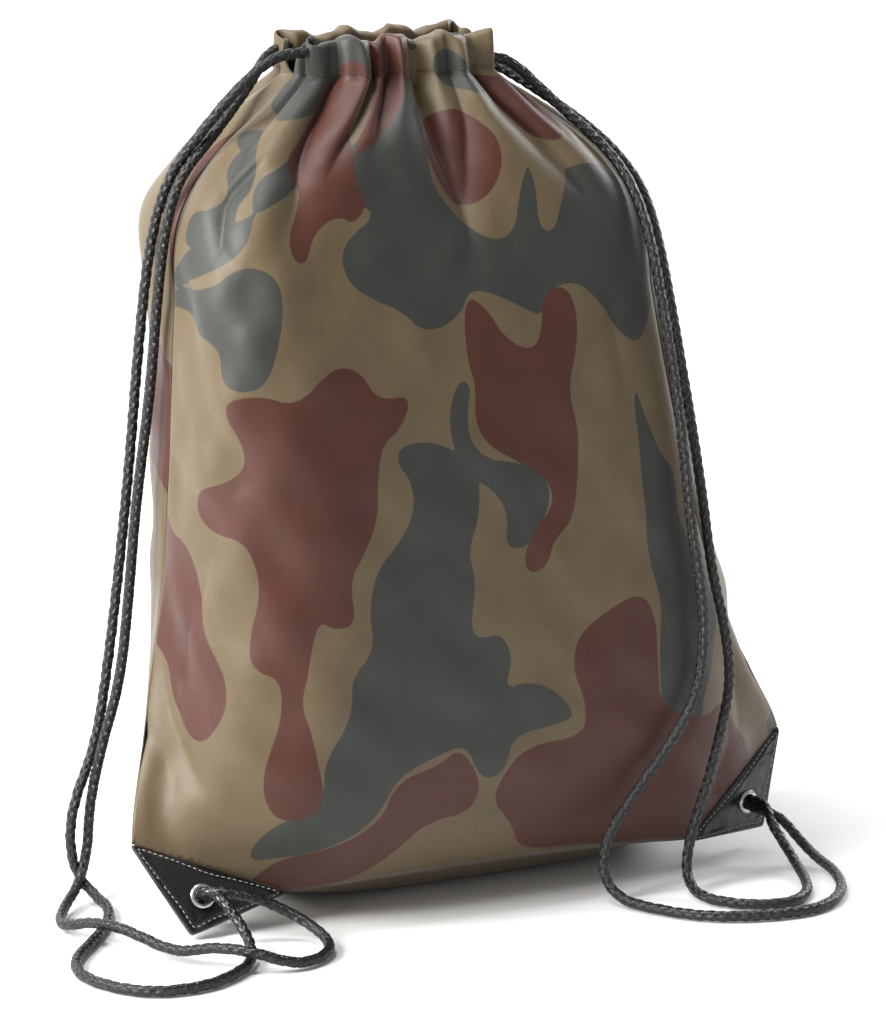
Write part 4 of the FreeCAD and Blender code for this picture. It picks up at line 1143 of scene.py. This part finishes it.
class BAG_OT_stage(bpy.types.Operator):
    """Floor, lights and camera"""

    bl_idname = "bag.stage"
    bl_label = "Stage"

    def execute(self, context):
        """Adds the floor, backdrop, lights and camera."""
        scene = context.scene
        size = 6.0
        paint, _, shader = new_material("PaleFloor", 0.7)
        shader.inputs["Base Color"].default_value = (0.86, 0.86, 0.86, 1)
        glow, _, shader = new_material("Backdrop", 0.9)
        shader.inputs["Base Color"].default_value = (0.8, 0.8, 0.8, 1)
        shader.inputs["Emission Color"].default_value = (1, 1, 1, 1)
        shader.inputs["Emission Strength"].default_value = 1.0
        ground = [(-size, -size, 0), (size, -size, 0), (size, size, 0), (-size, size, 0)]
        wall = [(-5, 4, -0.1), (-5, 4, 5), (7, 1.0, 5), (7, 1.0, -0.1)]
        for name, corners, paper, height in (("floor", ground, paint, -0.0004), ("backdrop", wall, glow, 0)):
            mesh = bpy.data.meshes.new(name)
            mesh.from_pydata(corners, [], [(0, 1, 2, 3)])
            mesh.materials.append(paper)
            plane = bpy.data.objects.new(name, mesh)
            plane.location.z = height
            scene.collection.objects.link(plane)
        world = bpy.data.worlds.new("Studio")
        world.use_nodes = True
        world.node_tree.nodes["Background"].inputs["Color"].default_value = (1, 1, 1, 1)
        world.node_tree.nodes["Background"].inputs["Strength"].default_value = 0.34
        scene.world = world
        for name, place, aim, width, power, colour in (
                ("key", (-1.7, 0.05, 1.2), (-0.03, 0, 0.2), 1.1, 74, (1, 0.985, 0.96)),
                ("top", (-0.55, 0.1, 2.1), (-0.03, 0, 0.3), 0.4, 20, (1, 1, 1)),
                ("rim", (1.5, 0.5, 0.9), (0, 0, 0.2), 0.6, 14, (0.95, 0.97, 1))):
            light = bpy.data.lights.new(name, "AREA")
            light.size, light.energy, light.color = width, power, colour
            lamp = bpy.data.objects.new(name, light)
            lamp.location = place
            lamp.rotation_mode = "QUATERNION"
            lamp.rotation_quaternion = (Vector(aim) - Vector(place)).to_track_quat("-Z", "Y")
            scene.collection.objects.link(lamp)
        camera = bpy.data.objects.new("camera", bpy.data.cameras.new("camera"))
        turn, rise, distance = math.radians(-26.0), math.radians(13.0), 2.0
        back = Vector((math.sin(turn) * math.cos(rise), -math.cos(turn) * math.cos(rise), math.sin(rise)))
        camera.location = Vector((-0.024, -0.046, 0.184)) + back * distance
        camera.rotation_mode = "QUATERNION"
        camera.rotation_quaternion = (-back).to_track_quat("-Z", "Y")
        camera.data.lens = 150.47
        camera.data.sensor_width = 36.0
        scene.collection.objects.link(camera)
        scene.camera = camera
        scene.view_settings.view_transform = "Standard"
        return {"FINISHED"}


class BAG_OT_cords(bpy.types.Operator):
    """The two braided cords, cut where they pass from one moving part to another"""

    bl_idname = "bag.cords"
    bl_label = "Braided cords"

    def execute(self, context):
        """Adds the six pieces of each cord."""
        settings = context.scene.bag_settings
        for side in ("left", "right"):
            line, place = evenly(spline_line(side + "_guide", cord_points(side)), CORD_STEP)
            high = np.nonzero(line[:, 2] > 0.386)[0]
            mid = np.nonzero(np.diff(np.sign(line[high, 1] - MOUTH_Y * MM)))[0][0] + high[0]
            sign = -1 if side == "left" else 1
            inner = np.abs(line[:, 0] - MOUTH_X * MM) < 0.004
            front_cut = [i for i in range(mid) if inner[i]][0]
            back_cut = [i for i in range(mid, len(line)) if inner[i]][-1]
            tail = int(TAIL_LENGTH / CORD_STEP)
            last = len(line) - 1
            end = MOUTH_X * MM + sign * 0.044
            edge = (end + sign * 0.022, 0, 0), (end - sign * 0.004, 0, 0)
            corner = side + "_corner"
            cuts = [
                ("front_tail", 0, tail, corner, None),
                ("front_strand", tail, front_cut, "front_lip", edge),
                ("front_turn", front_cut, mid, "front_lip", ((0, 0.0215, 0), (0, 0.008, 0))),
                ("back_turn", mid, back_cut, "back_lip", ((0, 0.0225, 0), (0, 0.036, 0))),
                ("back_strand", back_cut, last - tail, "back_lip", edge),
                ("back_tail", last - tail, last, corner, None),
            ]
            for name, first, final, body, ramp in cuts:
                part, along = line[first:final + 1], place[first:final + 1]
                squeezed = {"front_tail": 0, "back_tail": -1}.get(name)
                mesh = braided_tube("%s_%s" % (side, name), part, along, settings.cord_diameter,
                                    settings.braid_pitch, squeezed)
                piece = new_piece("%s_%s" % (side, name), mesh, material("cord"))
                if ramp is None:
                    near, far = (part[0], part[-1]) if name == "front_tail" else (part[-1], part[0])
                    ramp = (tuple(far), tuple(near))
                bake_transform(piece)
                if name == "front_strand":
                    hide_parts(side + "_cord")
        return {"FINISHED"}


class BAG_OT_panels(bpy.types.Operator):
    """The two printed cloth panels"""

    bl_idname = "bag.panels"
    bl_label = "Cloth panels"

    def execute(self, context):
        """Adds the front panel, then the back one."""
        for side in ("front", "back"):
            make_panel(side)
        return {"FINISHED"}


class BAG_OT_seams(bpy.types.Operator):
    """The two side seams' allowances inside the bag, and the topstitching of the lips"""

    bl_idname = "bag.seams"
    bl_label = "Seams and topstitching"

    def execute(self, context):
        """Adds the seam allowances, then the stitches."""
        settings = context.scene.bag_settings
        for side, column in (("left", 0), ("right", COLUMNS)):
            points, _, up, ends = body_points("front")
            rows = np.nonzero((~ends[:, column]) & (up[:, column] < 374))[0][8:]
            chain = points[rows, column]
            inward = np.array([MOUTH_X, 0.0, 0.0]) - chain
            inward[:, 2] = 0
            inward[:, 1] *= 0.4
            inward /= np.linalg.norm(inward, axis=1, keepdims=True)
            wave = 0.8 * np.sin(chain[:, 2] / 9.0)
            across = np.cross(inward, [0, 0, 1])
            ribbon = np.stack([chain + inward * (0.9 + k * 1.6) + across * (wave * k / 5)[:, None]
                               for k in range(6)], axis=1)
            mesh, used = mesh_from_grid(side + "_seam_allowance", ribbon)
            shape = ribbon.shape[:2]
            place = np.broadcast_to(np.arange(6) * 1.6, shape).ravel()[used]
            height = np.broadcast_to(chain[:, 2:3], shape).ravel()[used]
            put_uv(mesh, place, height)
            put_prints(mesh, place, height)
            piece = new_piece(side + "_seam_allowance", mesh, material("cloth_inside"))
            solidify(piece, 0.0011, 0.0)
            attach(piece, "bag")
            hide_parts(side + "_side_seam")
        for side in ("front", "back"):
            points, _, up, _ = body_points(side)
            outward = grid_outward(points)
            row = np.argmin(np.abs(up[:, COLUMNS // 2] - (NECK_HEIGHT + 1.5)))
            chain = points[row, 14:-14] + outward[row, 14:-14] * 0.12
            pitch = settings.stitch_pitch / MM
            starts, finals = along_chain(chain, pitch, pitch * 0.68)
            mesh = capsules(side + "_lip_stitches", starts, finals, 0.24)
            piece = new_piece(side + "_lip_stitches", mesh, material("dark_thread"))
            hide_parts(side + "_channel_stitching")
            lip_blend(piece)
        return {"FINISHED"}


class BAG_OT_corners(bpy.types.Operator):
    """The corner patches with their stitches, eyelets, washers, knots and the cloth inside them"""

    bl_idname = "bag.corners"
    bl_label = "Corner patches"

    def execute(self, context):
        """Adds each corner's pieces, the left corner first."""
        settings = context.scene.bag_settings
        flange = [(3.35, -2.4), (3.35, 2.9), (3.55, 3.3), (4.1, 3.5), (4.9, 3.45), (5.6, 3.1), (5.95, 2.6),
                  (6.0, 2.2), (5.6, 2.05), (4.25, 2.05), (4.1, 1.8), (4.1, -2.4)]
        washer = [(4.2, -2.0), (6.0, -2.0), (6.05, -2.5), (5.7, -2.95), (4.9, -3.15), (4.4, -3.3),
                  (3.8, -3.7), (3.4, -3.4), (3.35, -2.6), (4.1, -2.55)]
        for side in ("left", "right"):
            facing = CORNERS[side][3]
            body = side + "_corner"
            shape = patch_shape()
            mesh = closed_ring_mesh(side + "_leatherette", from_patch(side, shape * [1, 1, facing]))
            piece = new_piece(side + "_leatherette", mesh, material("leather"))
            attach(piece, body)
            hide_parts(side + "_corner_patch")
            for label, profile, node in (("eyelet_ring", flange, "_eyelet"),
                                         ("washer_ring", washer, "_eyelet_washer")):
                mesh = lathe("%s_%s" % (side, label), profile, side, facing)
                ring = new_piece("%s_%s" % (side, label), mesh, material("metal"))
                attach(ring, body)
                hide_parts(side + node)
            starts, finals = [], []
            for face in (shape[PATCH_RINGS - 4], shape[-PATCH_RINGS + 3]):
                lifted = face + [0, 0, 0.16] * np.sign(face[:, 2:3])
                chain = from_patch(side, np.concatenate([lifted, lifted[:1]]) * [1, 1, facing])
                pitch = settings.stitch_pitch / MM
                first, last = along_chain(chain, pitch, pitch * 0.66)
                starts.append(first)
                finals.append(last)
            mesh = capsules(side + "_patch_stitches", np.concatenate(starts), np.concatenate(finals), 0.26)
            stitches = new_piece(side + "_patch_stitches", mesh, material("pale_thread"))
            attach(stitches, body)
            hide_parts(side + "_patch_stitching")
            self.corner_cloth(side, body)
            self.knot(side, facing, body, settings)
        return {"FINISHED"}

    def corner_cloth(self, side, body):
        """The two cloth layers that run on from the panels into the patch."""
        x = np.linspace(1.5, HINGE_LENGTH - 1.5, 60)
        rows = np.linspace(-2.0, 1.9, 10)
        sheets = []
        for sign in (1, -1):
            grid = np.zeros((len(rows), len(x), 3))
            grid[..., 0], grid[..., 1] = x[None, :], rows[:, None]
            edge = np.minimum(x, HINGE_LENGTH - x)
            grid[..., 2] = sign * 0.3 * smooth_step(edge, 0, 6)[None, :]
            sheets.append(grid if sign == 1 else grid[::-1])
        points = from_patch(side, np.concatenate(sheets))
        mesh, used = mesh_from_grid(side + "_inner_cloth", points)
        place = np.broadcast_to(x, points.shape[:2]).ravel()[used]
        height = np.broadcast_to(np.linspace(10, 30, len(points))[:, None], points.shape[:2])
        height = height.ravel()[used]
        put_uv(mesh, place, height)
        put_prints(mesh, place + 200, height)
        piece = new_piece(side + "_inner_cloth", mesh, material("cloth_inside"))
        solidify(piece, 0.0004, 0.0)
        near, far = from_patch(side, [[TIP_ALONG, -1.6, 0], [TIP_ALONG, 1.6, 0]]) * MM
        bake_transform(piece)
        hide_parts(side + "_corner_cloth")

    def knot(self, side, facing, body, settings):
        """The stopper knot behind the eyelet: a coil of cord that goes round KNOT_TURNS times."""
        turn = np.linspace(0, 2 * np.pi * KNOT_TURNS, 240)
        depth = 6.4 + 6.2 * turn / turn[-1] + 0.8 * np.sin(turn * 1.5)
        radius = 3.3 + 0.35 * np.sin(turn * 2.0 + 0.5)
        local = np.column_stack([EYELET_ALONG + radius * np.cos(turn), EYELET_OUT + radius * np.sin(turn),
                                 -facing * depth])
        line, place = evenly(from_patch(side, local) * MM, CORD_STEP)
        mesh = braided_tube(side + "_stopper_knot", line, place, settings.cord_diameter * 0.92,
                            settings.braid_pitch)
        piece = new_piece(side + "_stopper_knot", mesh, material("cord"))
        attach(piece, body)
        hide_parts(side + "_cord_knot")


class BAG_PT_sidebar(bpy.types.Panel):
    """Sizes, finish and the steps that make the bag"""

    bl_idname = "BAG_PT_sidebar"
    bl_label = "Drawstring bag"
    bl_space_type = "VIEW_3D"
    bl_region_type = "UI"
    bl_category = "Bag"

    def draw(self, context):
        """Lists the settings, then one button for each step."""
        for group in (context.scene.bag_settings, context.scene.bag_finish):
            for name in group.bl_rna.properties.keys():
                if name not in ("rna_type", "name"):
                    self.layout.prop(group, name)
        for step in ("stage", "cords", "panels", "seams", "corners"):
            self.layout.operator("bag." + step)


CLASSES = (BagSettings, BagFinish, BAG_OT_stage, BAG_OT_cords, BAG_OT_panels, BAG_OT_seams, BAG_OT_corners,
           BAG_PT_sidebar)


def register():
    """Adds the classes and the two groups of settings."""
    for item in CLASSES:
        bpy.utils.register_class(item)
    bpy.types.Scene.bag_settings = bpy.props.PointerProperty(type=BagSettings)
    bpy.types.Scene.bag_finish = bpy.props.PointerProperty(type=BagFinish)


def unregister():
    """Takes away what register added."""
    del bpy.types.Scene.bag_finish
    del bpy.types.Scene.bag_settings
    for item in reversed(CLASSES):
        bpy.utils.unregister_class(item)


def main():
    """Makes the bag."""
    register()
    bpy.ops.bag.stage()
    bpy.ops.bag.cords()
    bpy.ops.bag.panels()
    bpy.ops.bag.seams()
    bpy.ops.bag.corners()


if __name__ == "__main__":
    main()
